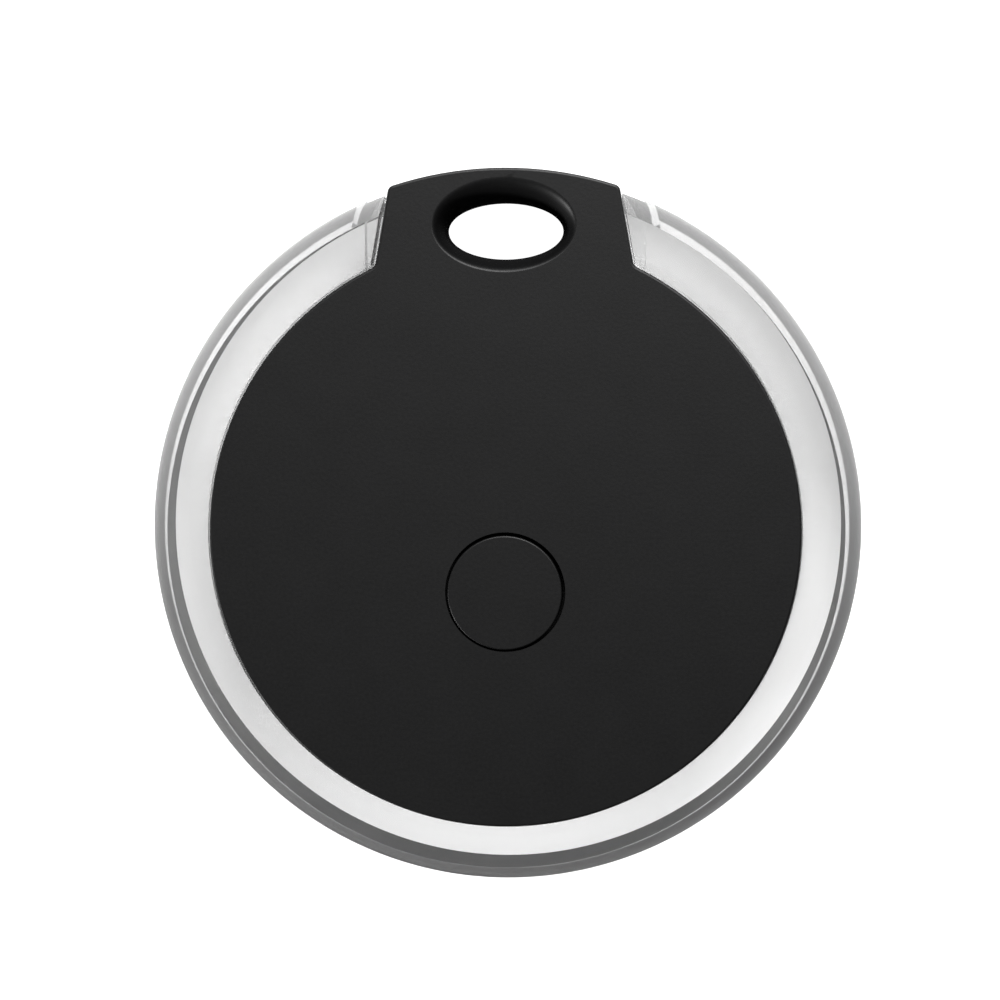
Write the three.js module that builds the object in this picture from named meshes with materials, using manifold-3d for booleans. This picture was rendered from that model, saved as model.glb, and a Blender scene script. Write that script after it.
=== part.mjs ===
// A round Bluetooth tracker tag: two black shells with a keyring tab, a clear ring around them,
// a push button in the face, a coin cell behind a turning door, and the board that they hold.
// Millimetres, +Z up. The tag lies on its back: its face looks along +Z, its keyring tab points
// along +Y, and the origin is the middle of the round body, on the surface that the back rests on.

import * as THREE from "three";
import { mergeVertices } from "three/addons/utils/BufferGeometryUtils.js";
import Module from "manifold-3d";

const wasm = await Module();
wasm.setup();

// ---- Driving dimensions ----

// The whole tag
const THICKNESS = 8.0;
const DISC_RADIUS = 15.7; // black face without its tab
const CROWN_RADIUS = 19.3; // end of the tab, an arc about the same middle
const SPLIT_Z = 4.0; // the two shells meet here
const SPLIT_GAP = 0.1;
const FACE_EDGE = 0.15; // rounding round the face and the back

// The tab's side, a straight line that leans inwards towards the crown
const SIDE_FOOT = [6.8, 14.2];
const SIDE_HEAD = [6.24, 17.4];
const NECK_FILLET = 0.45;
const CROWN_FILLET = 0.4;

// The keyring hole, an oval that widens towards both faces
const HOLE_Y = 16.02;
const HOLE_HALF_WIDTH = 3.1;
const HOLE_HALF_HEIGHT = 1.5;
const HOLE_FLARE_WIDTH = 0.64;
const HOLE_FLARE_HEIGHT = 0.93;
const HOLE_FLARE_SHIFT = 0.3; // the mouths sit this much closer to the crown than the waist does
const HOLE_LEVELS = [0, 0.45, 0.75, 0.92, 1]; // from the waist to a face
const HOLE_PAST_LEVEL = 1.2;
const HOLE_SIDES = 36;

// The clear ring
const RING_RADIUS = 19.2;
const RING_EDGE_RADIUS = 18.05; // where its flat front and back end and the bulging rim starts
const RING_INNER_RADIUS = 15.8;
const RING_INNER_PLAY = 0.05; // how far the tab's opening reaches behind the inner wall
const RIM_LEVELS = [-1, -0.75, -0.5, -0.25, 0, 0.25, 0.5, 0.75, 1];
const RING_BACK_Z = 0.9;
const RING_FRONT_Z = 7.2;
const RING_TAB_GAP = 0.2;
const TONGUE_INNER_RADIUS = 14.45;
const TONGUE_LOW_Z = 3.1;
const TONGUE_HIGH_Z = 4.9;
const TONGUE_HALF_GAP = 7.5; // the tongue stops this far from the tab's middle line

// The space inside the shells
const CAVITY_RADIUS = 13.6;
const FACE_WALL = 1.0;
const BACK_WALL = 1.4;
const RABBET_RADIUS = 14.35;
const RABBET_CLEARANCE = 0.1;
const WINDOW_SIZE = [4.0, 2.4, 0.9]; // openings in the skirt that let the status lights out
const WINDOW_REACH = 1.0; // a window's middle lies this far outside the cavity
const SINK = 0.2; // ribs and collars run this far into the wall they stand on

// The push button
const BUTTON_Y = -3.1;
const BUTTON_RADIUS = 3.04;
const BUTTON_APERTURE = 3.19;
const BUTTON_CHAMFER = 0.12;
const BUTTON_SIDES = 48;
const FLANGE_RADIUS = 3.7;
const FLANGE_LOW_Z = 6.64;
const FLANGE_HIGH_Z = 6.92;
const COLLAR_INNER_RADIUS = 3.85;
const COLLAR_OUTER_RADIUS = 4.5;
const COLLAR_LOW_Z = 6.6;

// The battery door, its seal and its bayonet
const DOOR_FLANGE_RADIUS = 11.8;
const DOOR_NECK_RADIUS = 10.85;
const DOOR_WALL_RADIUS = 10.3; // inside of the wall that the lugs stand on
const DOOR_LOW_Z = 0.1;
const DOOR_CHAMFER = 0.2;
const DOOR_FLANGE_HIGH_Z = 0.45;
const DOOR_FLOOR_Z = 1.35;
const DOOR_RECESS_RADIUS = 11.9;
const LEDGE_LOW_Z = 0.9;
const LEDGE_RADIUS = 11.0;
const LUG_RADIUS = 11.7;
const LUG_LOW_Z = 1.45;
const LUG_HIGH_Z = 1.95;
const LUG_WIDTH_DEG = 20;
const LUG_SLOT_DEG = 23;
const LUG_ANGLES = [90, 210, 330];
const DOOR_TURN_DEG = 30; // clockwise as seen from the face, to the slots that let the lugs out
const SLOT_LOW_Z = 0.5; // the lugs' slots are cut between these heights
const SLOT_HIGH_Z = 2.0;
const SLOT_INNER_RADIUS = 10.0;
const COIN_SLOT = [9.0, 1.7, 0.55];
const SEAL_INNER_GAP = 0.08;
const SEAL_OUTER_GAP = 0.15;

// The coin cell, the standard 20 mm by 3.2 mm size
const CELL_RADIUS = 10.0;
const CELL_LOW_Z = 1.5;
const CELL_HIGH_Z = 4.7;
const CELL_CAP_RADIUS = 8.9;
const CELL_WALL = 0.25;
const CAN_CHAMFER = 0.3;
const CAN_LIP_WIDTH = 0.55;
const CAN_LIP_Z = CELL_HIGH_Z - 0.3;
const STACK_LOW_Z = CELL_LOW_Z + 0.27;
const STACK_MIDDLE_Z = CELL_LOW_Z + 2.0;
const CATHODE_RADIUS = 8.3;
const ANODE_RADIUS = 8.0;
const SEPARATOR = 0.05;
const GASKET_LOW_Z = STACK_LOW_Z + 0.02;
const GASKET_SHOULDER_Z = CELL_HIGH_Z - 0.72;
const GASKET_HIGH_Z = CELL_HIGH_Z - 0.35;
const GASKET_INNER_RADIUS = CELL_CAP_RADIUS + 0.28;
const GASKET_OUTER_RADIUS = CELL_RADIUS - 0.27;
const GASKET_LIP_RADIUS = CELL_RADIUS - 0.6;
const CAP_SKIRT_Z = STACK_MIDDLE_Z - 0.6;

// The board and its screws
const BOARD_RADIUS = 13.3;
const BOARD_LOW_Z = 5.05;
const BOARD_HIGH_Z = 5.65;
const SOLDER = 0.02; // a mounted piece stands this far off the board
const SCREW_CIRCLE_RADIUS = 12.2;
const SCREW_ANGLES = [15, 135, 255];
const BOSS_RADIUS = 1.05;
const BOSS_BORE_RADIUS = 0.65;
const BOSS_BORE_LOW_Z = 2.2;
const BOARD_HOLE_RADIUS = 0.72;
const SCREW_PROFILE = [[0, 2.6], [0.35, 2.6], [0.58, 2.9], [0.58, BOARD_HIGH_Z + SOLDER]];
const SCREW_HEAD_RADIUS = 1.1;
const SCREW_HEAD_TOP_RADIUS = 0.8;
const SCREW_HEAD_HEIGHTS = [0.35, 0.55];
const SCREW_ARM = [1.3, 0.3, 0.6];
const SCREW_ARM_RISE = 0.3;
const RIB_ANGLES = [105, 225, 345]; // ribs that keep the cell in the middle
const RIB_SIZE = [3.6, 0.8];
const RIB_CIRCLE_RADIUS = 12.0;
const RIB_LOW_Z = 2.2;
const RIB_HIGH_Z = 3.85;
const LED_CIRCLE_RADIUS = 12.3;
const LED_ANGLES = [40, 155, 215, 325];
const LED_SIZE = [0.8, 1.6, 0.55];
const CHIP_SIZE = [5.0, 5.0, 0.8];
const CHIP_PLACE = [-6.9, -3.4];
const CRYSTAL_SIZE = [3.2, 2.5, 0.7];
const CRYSTAL_PLACE = [-5.0, -8.3];
const ANTENNA_SIZE = [5.2, 2.0, 0.9];
const ANTENNA_PLACE = [7.6, -5.6];
const ANTENNA_TURN = 50;
const CAPACITOR_SIZE = [1.0, 0.6, 0.5];
const CAPACITOR_TURN = 90;
const CAPACITOR_PLACES = [[-6.9, 0.4], [-8.9, 0.4], [0.5, -9.6], [2.3, -9.6]];

// The leaf under the board, whose two arms lean down to the cell's cap: [along, z] and its width
const NEGATIVE_OUTLINE = [
  [-4.6, 4.74],
  [-4.2, 4.74],
  [-1.2, 4.94],
  [1.2, 4.94],
  [4.2, 4.74],
  [4.6, 4.74],
  [4.6, 4.82],
  [4.2, 4.82],
  [1.3, 5.03],
  [-1.3, 5.03],
  [-4.2, 4.82],
  [-4.6, 4.82],
];
const NEGATIVE_WIDTH = 2.6;

// The spring strip that hangs from the board and leans on the side of the cell's can
const POSITIVE_OUTLINE = [
  [12.4, 5.03],
  [12.4, 4.9],
  [10.62, 4.9],
  [10.2, 3.3],
  [10.5, 2.4],
  [10.36, 2.36],
  [10.04, 3.3],
  [10.5, 5.03],
];
const POSITIVE_WIDTH = 3.0;

// The buzzer
const BUZZER_Y = 6.8;
const BUZZER_RADIUS = 5.0;
const BUZZER_CERAMIC_RADIUS = 3.6;
const BUZZER_LOW_Z = 6.45;
const BUZZER_HIGH_Z = 6.6;
const BUZZER_CERAMIC_THICKNESS = 0.18;
const BUZZER_TAPE_WIDTH = 0.8;
const TAPE_INSET = 0.05;
const BUZZER_TAPE_THICKNESS = 0.16;
const BUZZER_SEAT_WIDTH = 0.9;
const FILM = 0.02; // pieces that rest on each other stand this far apart
const LEAF_HALF_LENGTH = 0.8;
const LEAF_WIDTH = 0.8;
const LEAF_SKIN = 0.1;
const LEAF_PLACES = [0, 3.6];

// The key switch under the button
const SWITCH_SIZE = [4.2, 3.4];
const SWITCH_LOW_Z = BOARD_HIGH_Z + SOLDER;
const SWITCH_WELL_RADIUS = 1.4;
const SWITCH_FLOOR_Z = 5.85;
const SWITCH_WALL_HIGH_Z = 6.32;
const PLUNGER_RADIUS = 0.8;
const PLUNGER_PLAY = 0.15;
const PLUNGER_SIDES = 24;
const COVER_INSET = 0.2;
const COVER_THICKNESS = 0.08;
const DOME_RADIUS = SWITCH_WELL_RADIUS - 0.1;
const DOME_SKIN = 0.07;
const DOME_SAG = 0.8; // how much of its rise the dome drops by at its rim
const DOME_LEVELS = [0, 0.4, 0.75, 1];
const DOME_SIDES = 20;

const ROUND = 60; // sides of a large circle
const SMALL_ROUND = 28; // sides of a small one
const TINY_ROUND = 12;
const CELL_ROUND = 40;
const ARC_STEP_DEG = 6;
const PAST = 0.5; // how far a cutter runs past what it cuts

// ---- Materials ----

const material = (color, roughness, metalness = 0) =>
  new THREE.MeshStandardMaterial({ color, roughness, metalness });

const BLACK_PLASTIC = material(0x262626, 0.55);
const CLEAR_PLASTIC = new THREE.MeshStandardMaterial({
  color: 0xf2f4f5,
  roughness: 0.08,
  transparent: true,
  opacity: 0.35,
});
const BOARD_GREEN = material(0x1f5a3a, 0.45);
const STEEL = material(0xb9bcc0, 0.32, 0.9);
const BRASS = material(0xc9a24a, 0.35, 0.9);
const CERAMIC = material(0xe6e0d2, 0.6);
const CHIP_BLACK = material(0x1b1b1d, 0.5);
const SWITCH_BLACK = material(0x2c2c2e, 0.55);
const SILICONE = material(0x50555a, 0.7);
const FOAM_TAPE = material(0xd8d8d4, 0.9);
const LED_WHITE = material(0xf0eee4, 0.35);

// ---- Solids ----

const radians = THREE.MathUtils.degToRad;
const polar = (radius, degrees) => [
  radius * Math.cos(radians(degrees)),
  radius * Math.sin(radians(degrees)),
];

// A closed three.js geometry as a solid that can be joined and cut
function solidOf(geometry) {
  const bare = geometry.index ? geometry.toNonIndexed() : geometry.clone();
  bare.deleteAttribute("normal");
  bare.deleteAttribute("uv");
  const merged = mergeVertices(bare, 1e-4);
  const corners = merged.index.array;
  const kept = [];
  for (let i = 0; i < corners.length; i += 3) {
    const [a, b, c] = corners.slice(i, i + 3);
    if (a !== b && b !== c && c !== a) {
      kept.push(a, b, c);
    }
  }
  const build = (triVerts) =>
    new wasm.Manifold(
      new wasm.Mesh({
        numProp: 3,
        vertProperties: merged.attributes.position.array,
        triVerts: new Uint32Array(triVerts),
      }),
    );
  const solid = build(kept);
  return solid.volume() > 0 ? solid : build(kept.reverse());
}

const joined = (...solids) => solids.reduce((all, next) => all.add(next));
const cut = (solid, ...cutters) => cutters.reduce((rest, next) => rest.subtract(next), solid);

// A profile of [radius, z] points turned about the Z axis
function turned(profile, sides = ROUND) {
  const points = profile.map(([radius, z]) => new THREE.Vector2(radius, z));
  const onAxis = points[0].x === 0 && points.at(-1).x === 0;
  if (!onAxis) {
    points.push(points[0].clone());
  }
  return solidOf(new THREE.LatheGeometry(points, sides).rotateX(Math.PI / 2));
}

const post = (radius, low, high, x = 0, y = 0, sides = SMALL_ROUND) =>
  turned([[0, low], [radius, low], [radius, high], [0, high]], sides).translate([x, y, 0]);

const tube = (inner, outer, low, high, sides = ROUND) =>
  turned([[inner, low], [outer, low], [outer, high], [inner, high]], sides);

// A box given by its size, the middle of its base, and a turn about Z
function block([width, depth, height], [x, y, z], turn = 0) {
  const box = new THREE.BoxGeometry(width, depth, height);
  box.translate(0, 0, height / 2).rotateZ(radians(turn)).translate(x, y, z);
  return solidOf(box);
}

function plate(outline, low, high) {
  const depth = high - low;
  const slab = new THREE.ExtrudeGeometry(outline, { depth, bevelEnabled: false });
  return solidOf(slab.translate(0, 0, low));
}

// A plate whose two rims are rounded
function softPlate(outline, low, high, edge) {
  const slab = new THREE.ExtrudeGeometry(outline, {
    depth: high - low - 2 * edge,
    bevelThickness: edge,
    bevelSize: edge,
    bevelOffset: -edge,
    bevelSegments: 2,
  });
  return solidOf(slab.translate(0, 0, low + edge));
}

// A strip bent in its own plane: an outline of [along, z] points, given a width across
function bentStrip(outline, width, [x, y], turn = 0) {
  const shape = new THREE.Shape(outline.map(([along, z]) => new THREE.Vector2(along, z)));
  const strip = new THREE.ExtrudeGeometry(shape, { depth: width, bevelEnabled: false });
  strip.translate(0, 0, -width / 2).rotateX(Math.PI / 2).rotateZ(radians(turn)).translate(x, y, 0);
  return solidOf(strip);
}

// A sector of a tube, centred on an angle
function sector(inner, outer, low, high, middle, width) {
  const outline = new THREE.Shape();
  outline.absarc(0, 0, outer, radians(middle - width / 2), radians(middle + width / 2), false);
  outline.absarc(0, 0, inner, radians(middle + width / 2), radians(middle - width / 2), true);
  return plate(outline, low, high);
}

// ---- Outline of the black body: a disc with its keyring tab ----

function arc(centre, radius, from, to) {
  const steps = Math.max(2, Math.ceil(Math.abs(to - from) / ARC_STEP_DEG));
  return Array.from({ length: steps + 1 }, (_, i) => {
    const [x, y] = polar(radius, from + ((to - from) * i) / steps);
    return [centre[0] + x, centre[1] + y];
  });
}

// The point that lies a distance off the tab's side line and a radius from the middle
function besideTab(offLine, radius) {
  const side = new THREE.Vector2(SIDE_HEAD[0] - SIDE_FOOT[0], SIDE_HEAD[1] - SIDE_FOOT[1]);
  side.normalize();
  const outward = new THREE.Vector2(side.y, -side.x);
  const base = new THREE.Vector2(...SIDE_FOOT).addScaledVector(outward, offLine);
  const near = base.dot(side);
  const along = -near + Math.sqrt(near * near - base.lengthSq() + radius * radius);
  return base.addScaledVector(side, along).toArray();
}

const bearing = ([x, y]) => THREE.MathUtils.radToDeg(Math.atan2(y, x));

// The outline, with the tab grown sideways to leave room around it
function bodyOutline(disc = DISC_RADIUS, grow = 0, crown = CROWN_RADIUS) {
  const lean = bearing([SIDE_HEAD[1] - SIDE_FOOT[1], SIDE_FOOT[0] - SIDE_HEAD[0]]);
  const fillet = NECK_FILLET - grow;
  const neck = besideTab(grow + fillet, disc + fillet);
  const corner = besideTab(grow - CROWN_FILLET, crown - CROWN_FILLET);
  const right = [
    ...arc([0, 0], disc, -90, bearing(neck)),
    ...arc(neck, fillet, bearing(neck) + 180, lean + 180).slice(1),
    ...arc(corner, CROWN_FILLET, lean, bearing(corner)),
    ...arc([0, 0], crown, bearing(corner), 90).slice(1),
  ];
  const left = right.slice(1, -1).reverse().map(([x, y]) => [-x, y]);
  return new THREE.Shape([...right, ...left].map(([x, y]) => new THREE.Vector2(x, y)));
}

// ---- Casing ----

// The keyring hole: a unit post whose girth follows a flare, widest at the two faces
function keyringHole() {
  const middle = THICKNESS / 2;
  const below = HOLE_LEVELS.slice(1).reverse().map((level) => -level);
  const heights = [-HOLE_PAST_LEVEL, ...below, ...HOLE_LEVELS, HOLE_PAST_LEVEL];
  const profile = [[0, heights[0]], ...heights.map((level) => [1, level]), [0, heights.at(-1)]];
  const points = profile.map(([radius, level]) => new THREE.Vector2(radius, level));
  const hole = new THREE.LatheGeometry(points, HOLE_SIDES).rotateX(Math.PI / 2);
  const position = hole.attributes.position;
  for (let i = 0; i < position.count; i++) {
    const level = Math.min(1, Math.abs(position.getZ(i)));
    const flare = 1 - Math.sqrt(1 - level * level);
    const halfHeight = HOLE_HALF_HEIGHT + HOLE_FLARE_HEIGHT * flare;
    position.setXYZ(
      i,
      position.getX(i) * (HOLE_HALF_WIDTH + HOLE_FLARE_WIDTH * flare),
      HOLE_Y + HOLE_FLARE_SHIFT * flare + position.getY(i) * halfHeight,
      middle + position.getZ(i) * middle,
    );
  }
  return solidOf(hole);
}

// The groove round both shells that holds the ring's tongue, left out across the tab
function tongueGroove() {
  const low = TONGUE_LOW_Z - RABBET_CLEARANCE;
  const high = TONGUE_HIGH_Z + RABBET_CLEARANCE;
  const groove = tube(RABBET_RADIUS, DISC_RADIUS + 3 * PAST, low, high);
  const tabHalf = TONGUE_HALF_GAP - RING_TAB_GAP;
  return cut(groove, block([2 * tabHalf, CROWN_RADIUS, THICKNESS], [0, CROWN_RADIUS / 2, 0]));
}

function frontShell() {
  const split = SPLIT_Z + SPLIT_GAP / 2;
  const inside = THICKNESS - FACE_WALL;
  const slab = softPlate(bodyOutline(), 0, THICKNESS, FACE_EDGE);
  const backHalf = post(2 * CROWN_RADIUS, -PAST, split);
  const windows = LED_ANGLES.map((angle) =>
    block(WINDOW_SIZE, [...polar(CAVITY_RADIUS + WINDOW_REACH, angle), BOARD_HIGH_Z], angle),
  );
  const shell = cut(
    slab,
    backHalf,
    post(CAVITY_RADIUS, split - PAST, inside, 0, 0, ROUND),
    tongueGroove(),
    keyringHole(),
    post(BUTTON_APERTURE, inside - PAST, THICKNESS + PAST, 0, BUTTON_Y),
    ...windows,
  );
  const sunk = inside + SINK;
  const collar = tube(COLLAR_INNER_RADIUS, COLLAR_OUTER_RADIUS, COLLAR_LOW_Z, sunk, SMALL_ROUND);
  const seatLow = BUZZER_HIGH_Z + BUZZER_TAPE_THICKNESS + 2 * FILM;
  const seat = tube(BUZZER_RADIUS - BUZZER_SEAT_WIDTH, BUZZER_RADIUS, seatLow, sunk, SMALL_ROUND);
  return joined(shell, collar.translate([0, BUTTON_Y, 0]), seat.translate([0, BUZZER_Y, 0]));
}

function rearShell() {
  const split = SPLIT_Z - SPLIT_GAP / 2;
  const slab = softPlate(bodyOutline(), 0, THICKNESS, FACE_EDGE);
  const frontHalf = post(2 * CROWN_RADIUS, split, THICKNESS + PAST);
  const slots = LUG_ANGLES.map((angle) =>
    sector(
      SLOT_INNER_RADIUS,
      DOOR_RECESS_RADIUS,
      SLOT_LOW_Z,
      SLOT_HIGH_Z,
      angle - DOOR_TURN_DEG,
      LUG_SLOT_DEG,
    ),
  );
  const shell = cut(
    slab,
    frontHalf,
    post(CAVITY_RADIUS, BACK_WALL, split + PAST, 0, 0, ROUND),
    tongueGroove(),
    keyringHole(),
    post(LEDGE_RADIUS, -PAST, BACK_WALL + PAST, 0, 0, ROUND),
    ...slots,
  );
  const bosses = SCREW_ANGLES.map((angle) => {
    const [x, y] = polar(SCREW_CIRCLE_RADIUS, angle);
    const boss = post(BOSS_RADIUS, BACK_WALL - SINK, BOARD_LOW_Z - SOLDER, x, y, TINY_ROUND);
    return cut(boss, post(BOSS_BORE_RADIUS, BOSS_BORE_LOW_Z, BOARD_LOW_Z + PAST, x, y, TINY_ROUND));
  });
  const ribs = RIB_ANGLES.map((angle) =>
    block([...RIB_SIZE, RIB_HIGH_Z - RIB_LOW_Z], [...polar(RIB_CIRCLE_RADIUS, angle), RIB_LOW_Z], angle),
  );
  const doorSpace = post(DOOR_RECESS_RADIUS, -PAST, LEDGE_LOW_Z, 0, 0, ROUND);
  return cut(joined(shell, ...bosses, ...ribs), doorSpace);
}

// A C-shaped light guide with a flat front and back, a bulging rim and a tongue inside
function clearRing() {
  const middle = (RING_BACK_Z + RING_FRONT_Z) / 2;
  const halfHeight = (RING_FRONT_Z - RING_BACK_Z) / 2;
  const bulge = RING_RADIUS - RING_EDGE_RADIUS;
  const rim = RIM_LEVELS.map((level) => [
    RING_EDGE_RADIUS + bulge * (1 - level * level),
    middle + halfHeight * level,
  ]);
  const hoop = turned([[RING_INNER_RADIUS, RING_BACK_Z], ...rim, [RING_INNER_RADIUS, RING_FRONT_Z]]);
  const tabSpace = bodyOutline(RING_INNER_RADIUS - RING_INNER_PLAY, RING_TAB_GAP, 2 * RING_RADIUS);
  const tongue = cut(
    tube(TONGUE_INNER_RADIUS, RING_INNER_RADIUS + PAST, TONGUE_LOW_Z, TONGUE_HIGH_Z),
    block([2 * TONGUE_HALF_GAP, CROWN_RADIUS, THICKNESS], [0, CROWN_RADIUS / 2, 0]),
  );
  return joined(cut(hoop, plate(tabSpace, -PAST, THICKNESS + PAST)), tongue);
}

function buttonCap() {
  return turned(
    [
      [0, FLANGE_LOW_Z],
      [FLANGE_RADIUS, FLANGE_LOW_Z],
      [FLANGE_RADIUS, FLANGE_HIGH_Z],
      [BUTTON_RADIUS, FLANGE_HIGH_Z],
      [BUTTON_RADIUS, THICKNESS - BUTTON_CHAMFER],
      [BUTTON_RADIUS - BUTTON_CHAMFER, THICKNESS],
      [0, THICKNESS],
    ],
    BUTTON_SIDES,
  ).translate([0, BUTTON_Y, 0]);
}

// ---- Battery door ----

function batteryDoor() {
  const disc = turned([
    [0, DOOR_LOW_Z],
    [DOOR_FLANGE_RADIUS - DOOR_CHAMFER, DOOR_LOW_Z],
    [DOOR_FLANGE_RADIUS, DOOR_LOW_Z + DOOR_CHAMFER],
    [DOOR_FLANGE_RADIUS, DOOR_FLANGE_HIGH_Z],
    [DOOR_NECK_RADIUS, DOOR_FLANGE_HIGH_Z],
    [DOOR_NECK_RADIUS, LUG_HIGH_Z],
    [DOOR_WALL_RADIUS, LUG_HIGH_Z],
    [DOOR_WALL_RADIUS, DOOR_FLOOR_Z],
    [0, DOOR_FLOOR_Z],
  ]);
  const lugs = LUG_ANGLES.map((angle) =>
    sector(DOOR_WALL_RADIUS + SINK, LUG_RADIUS, LUG_LOW_Z, LUG_HIGH_Z, angle, LUG_WIDTH_DEG),
  );
  const [length, width, depth] = COIN_SLOT;
  const coinSlot = joined(
    block([length - width, width, depth + PAST], [0, 0, DOOR_LOW_Z - PAST]),
    post(width / 2, DOOR_LOW_Z - PAST, DOOR_LOW_Z + depth, (length - width) / 2, 0, TINY_ROUND),
    post(width / 2, DOOR_LOW_Z - PAST, DOOR_LOW_Z + depth, (width - length) / 2, 0, TINY_ROUND),
  );
  return cut(joined(disc, ...lugs), coinSlot);
}

const doorSeal = () =>
  tube(
    DOOR_NECK_RADIUS + SEAL_INNER_GAP,
    DOOR_FLANGE_RADIUS - SEAL_OUTER_GAP,
    DOOR_FLANGE_HIGH_Z + FILM,
    LEDGE_LOW_Z - FILM,
  );

// ---- Coin cell ----

function cellCan() {
  const mouth = CELL_RADIUS - CELL_WALL;
  return turned([
    [0, CELL_LOW_Z],
    [CELL_RADIUS - CAN_CHAMFER, CELL_LOW_Z],
    [CELL_RADIUS, CELL_LOW_Z + CAN_CHAMFER],
    [CELL_RADIUS, CAN_LIP_Z - CAN_CHAMFER],
    [CELL_RADIUS - CAN_CHAMFER, CAN_LIP_Z],
    [CELL_RADIUS - CAN_LIP_WIDTH, CAN_LIP_Z],
    [mouth, CAN_LIP_Z - CAN_CHAMFER],
    [mouth, CELL_LOW_Z + CELL_WALL],
    [0, CELL_LOW_Z + CELL_WALL],
  ], CELL_ROUND);
}

const cellCathode = () => post(CATHODE_RADIUS, STACK_LOW_Z, STACK_MIDDLE_Z, 0, 0, CELL_ROUND);
const cellAnode = () => post(ANODE_RADIUS, STACK_MIDDLE_Z + SEPARATOR, CAN_LIP_Z, 0, 0, CELL_ROUND);

const cellGasket = () =>
  turned([
    [GASKET_INNER_RADIUS, GASKET_LOW_Z],
    [GASKET_OUTER_RADIUS, GASKET_LOW_Z],
    [GASKET_OUTER_RADIUS, GASKET_SHOULDER_Z],
    [GASKET_LIP_RADIUS, GASKET_HIGH_Z],
    [GASKET_INNER_RADIUS, GASKET_HIGH_Z],
  ], CELL_ROUND);

const cellCap = () =>
  turned([
    [0, CELL_HIGH_Z],
    [CELL_CAP_RADIUS - CELL_WALL, CELL_HIGH_Z],
    [CELL_CAP_RADIUS, CELL_HIGH_Z - CELL_WALL],
    [CELL_CAP_RADIUS, CAP_SKIRT_Z],
    [CELL_CAP_RADIUS - CELL_WALL, CAP_SKIRT_Z],
    [CELL_CAP_RADIUS - CELL_WALL, CELL_HIGH_Z - CELL_WALL],
    [0, CELL_HIGH_Z - CELL_WALL],
  ], CELL_ROUND);

// ---- Board and what it carries ----

function circuitBoard() {
  const low = BOARD_LOW_Z - PAST;
  const high = BOARD_HIGH_Z + PAST;
  const holes = SCREW_ANGLES.map((angle) =>
    post(BOARD_HOLE_RADIUS, low, high, ...polar(SCREW_CIRCLE_RADIUS, angle), TINY_ROUND),
  );
  return cut(post(BOARD_RADIUS, BOARD_LOW_Z, BOARD_HIGH_Z, 0, 0, ROUND), ...holes);
}

function boardScrew(angle) {
  const head = BOARD_HIGH_Z + SOLDER;
  const [shoulder, top] = SCREW_HEAD_HEIGHTS;
  const profile = [
    ...SCREW_PROFILE,
    [SCREW_HEAD_RADIUS, head],
    [SCREW_HEAD_RADIUS, head + shoulder],
    [SCREW_HEAD_TOP_RADIUS, head + top],
    [0, head + top],
  ];
  const drive = [0, 90].map((turn) => block(SCREW_ARM, [0, 0, head + SCREW_ARM_RISE], turn));
  return cut(turned(profile, TINY_ROUND), ...drive).translate([
    ...polar(SCREW_CIRCLE_RADIUS, angle),
    0,
  ]);
}

const negativeContact = () => bentStrip(NEGATIVE_OUTLINE, NEGATIVE_WIDTH, [0, 0]);
const positiveContact = () => bentStrip(POSITIVE_OUTLINE, POSITIVE_WIDTH, [0, 0]);

function switchBase() {
  const [width, depth] = SWITCH_SIZE;
  const height = SWITCH_WALL_HIGH_Z - SWITCH_LOW_Z;
  const base = block([width, depth, height], [0, BUTTON_Y, SWITCH_LOW_Z]);
  return cut(base, post(SWITCH_WELL_RADIUS, SWITCH_FLOOR_Z, THICKNESS, 0, BUTTON_Y));
}

function switchCover() {
  const [width, depth] = SWITCH_SIZE;
  const low = SWITCH_WALL_HIGH_Z + FILM;
  const size = [width - COVER_INSET, depth - COVER_INSET, COVER_THICKNESS];
  const opening = post(PLUNGER_RADIUS + PLUNGER_PLAY, low - PAST, THICKNESS, 0, BUTTON_Y);
  return cut(block(size, [0, BUTTON_Y, low]), opening);
}

// The snap dome: a thin shell that buckles as the key is pressed
function switchDome() {
  const low = SWITCH_FLOOR_Z + FILM;
  const rise = SWITCH_WALL_HIGH_Z - low;
  const outside = DOME_LEVELS.map((part) => [
    DOME_RADIUS * part,
    low + rise * (1 - part * part * DOME_SAG),
  ]);
  const inside = outside.map(([r, z]) => [r, z - DOME_SKIN]).reverse();
  return turned([...outside, ...inside], DOME_SIDES).translate([0, BUTTON_Y, 0]);
}

const switchPlunger = () =>
  post(PLUNGER_RADIUS, SWITCH_WALL_HIGH_Z + FILM, FLANGE_LOW_Z - FILM, 0, BUTTON_Y, PLUNGER_SIDES);

const onBoard = (size, [x, y], turn = 0) => block(size, [x, y, BOARD_HIGH_Z + SOLDER], turn);

const statusLight = (angle) => onBoard(LED_SIZE, polar(LED_CIRCLE_RADIUS, angle), angle);

// ---- Buzzer ----

const buzzerPlate = () => post(BUZZER_RADIUS, BUZZER_LOW_Z, BUZZER_HIGH_Z, 0, BUZZER_Y, CELL_ROUND);

function buzzerCeramic() {
  const high = BUZZER_LOW_Z - FILM;
  const low = high - BUZZER_CERAMIC_THICKNESS;
  return post(BUZZER_CERAMIC_RADIUS, low, high, 0, BUZZER_Y, CELL_ROUND);
}

function buzzerTape() {
  const outer = BUZZER_RADIUS - TAPE_INSET;
  const low = BUZZER_HIGH_Z + FILM;
  const hoop = tube(outer - BUZZER_TAPE_WIDTH, outer, low, low + BUZZER_TAPE_THICKNESS, CELL_ROUND);
  return hoop.translate([0, BUZZER_Y, 0]);
}

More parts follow.
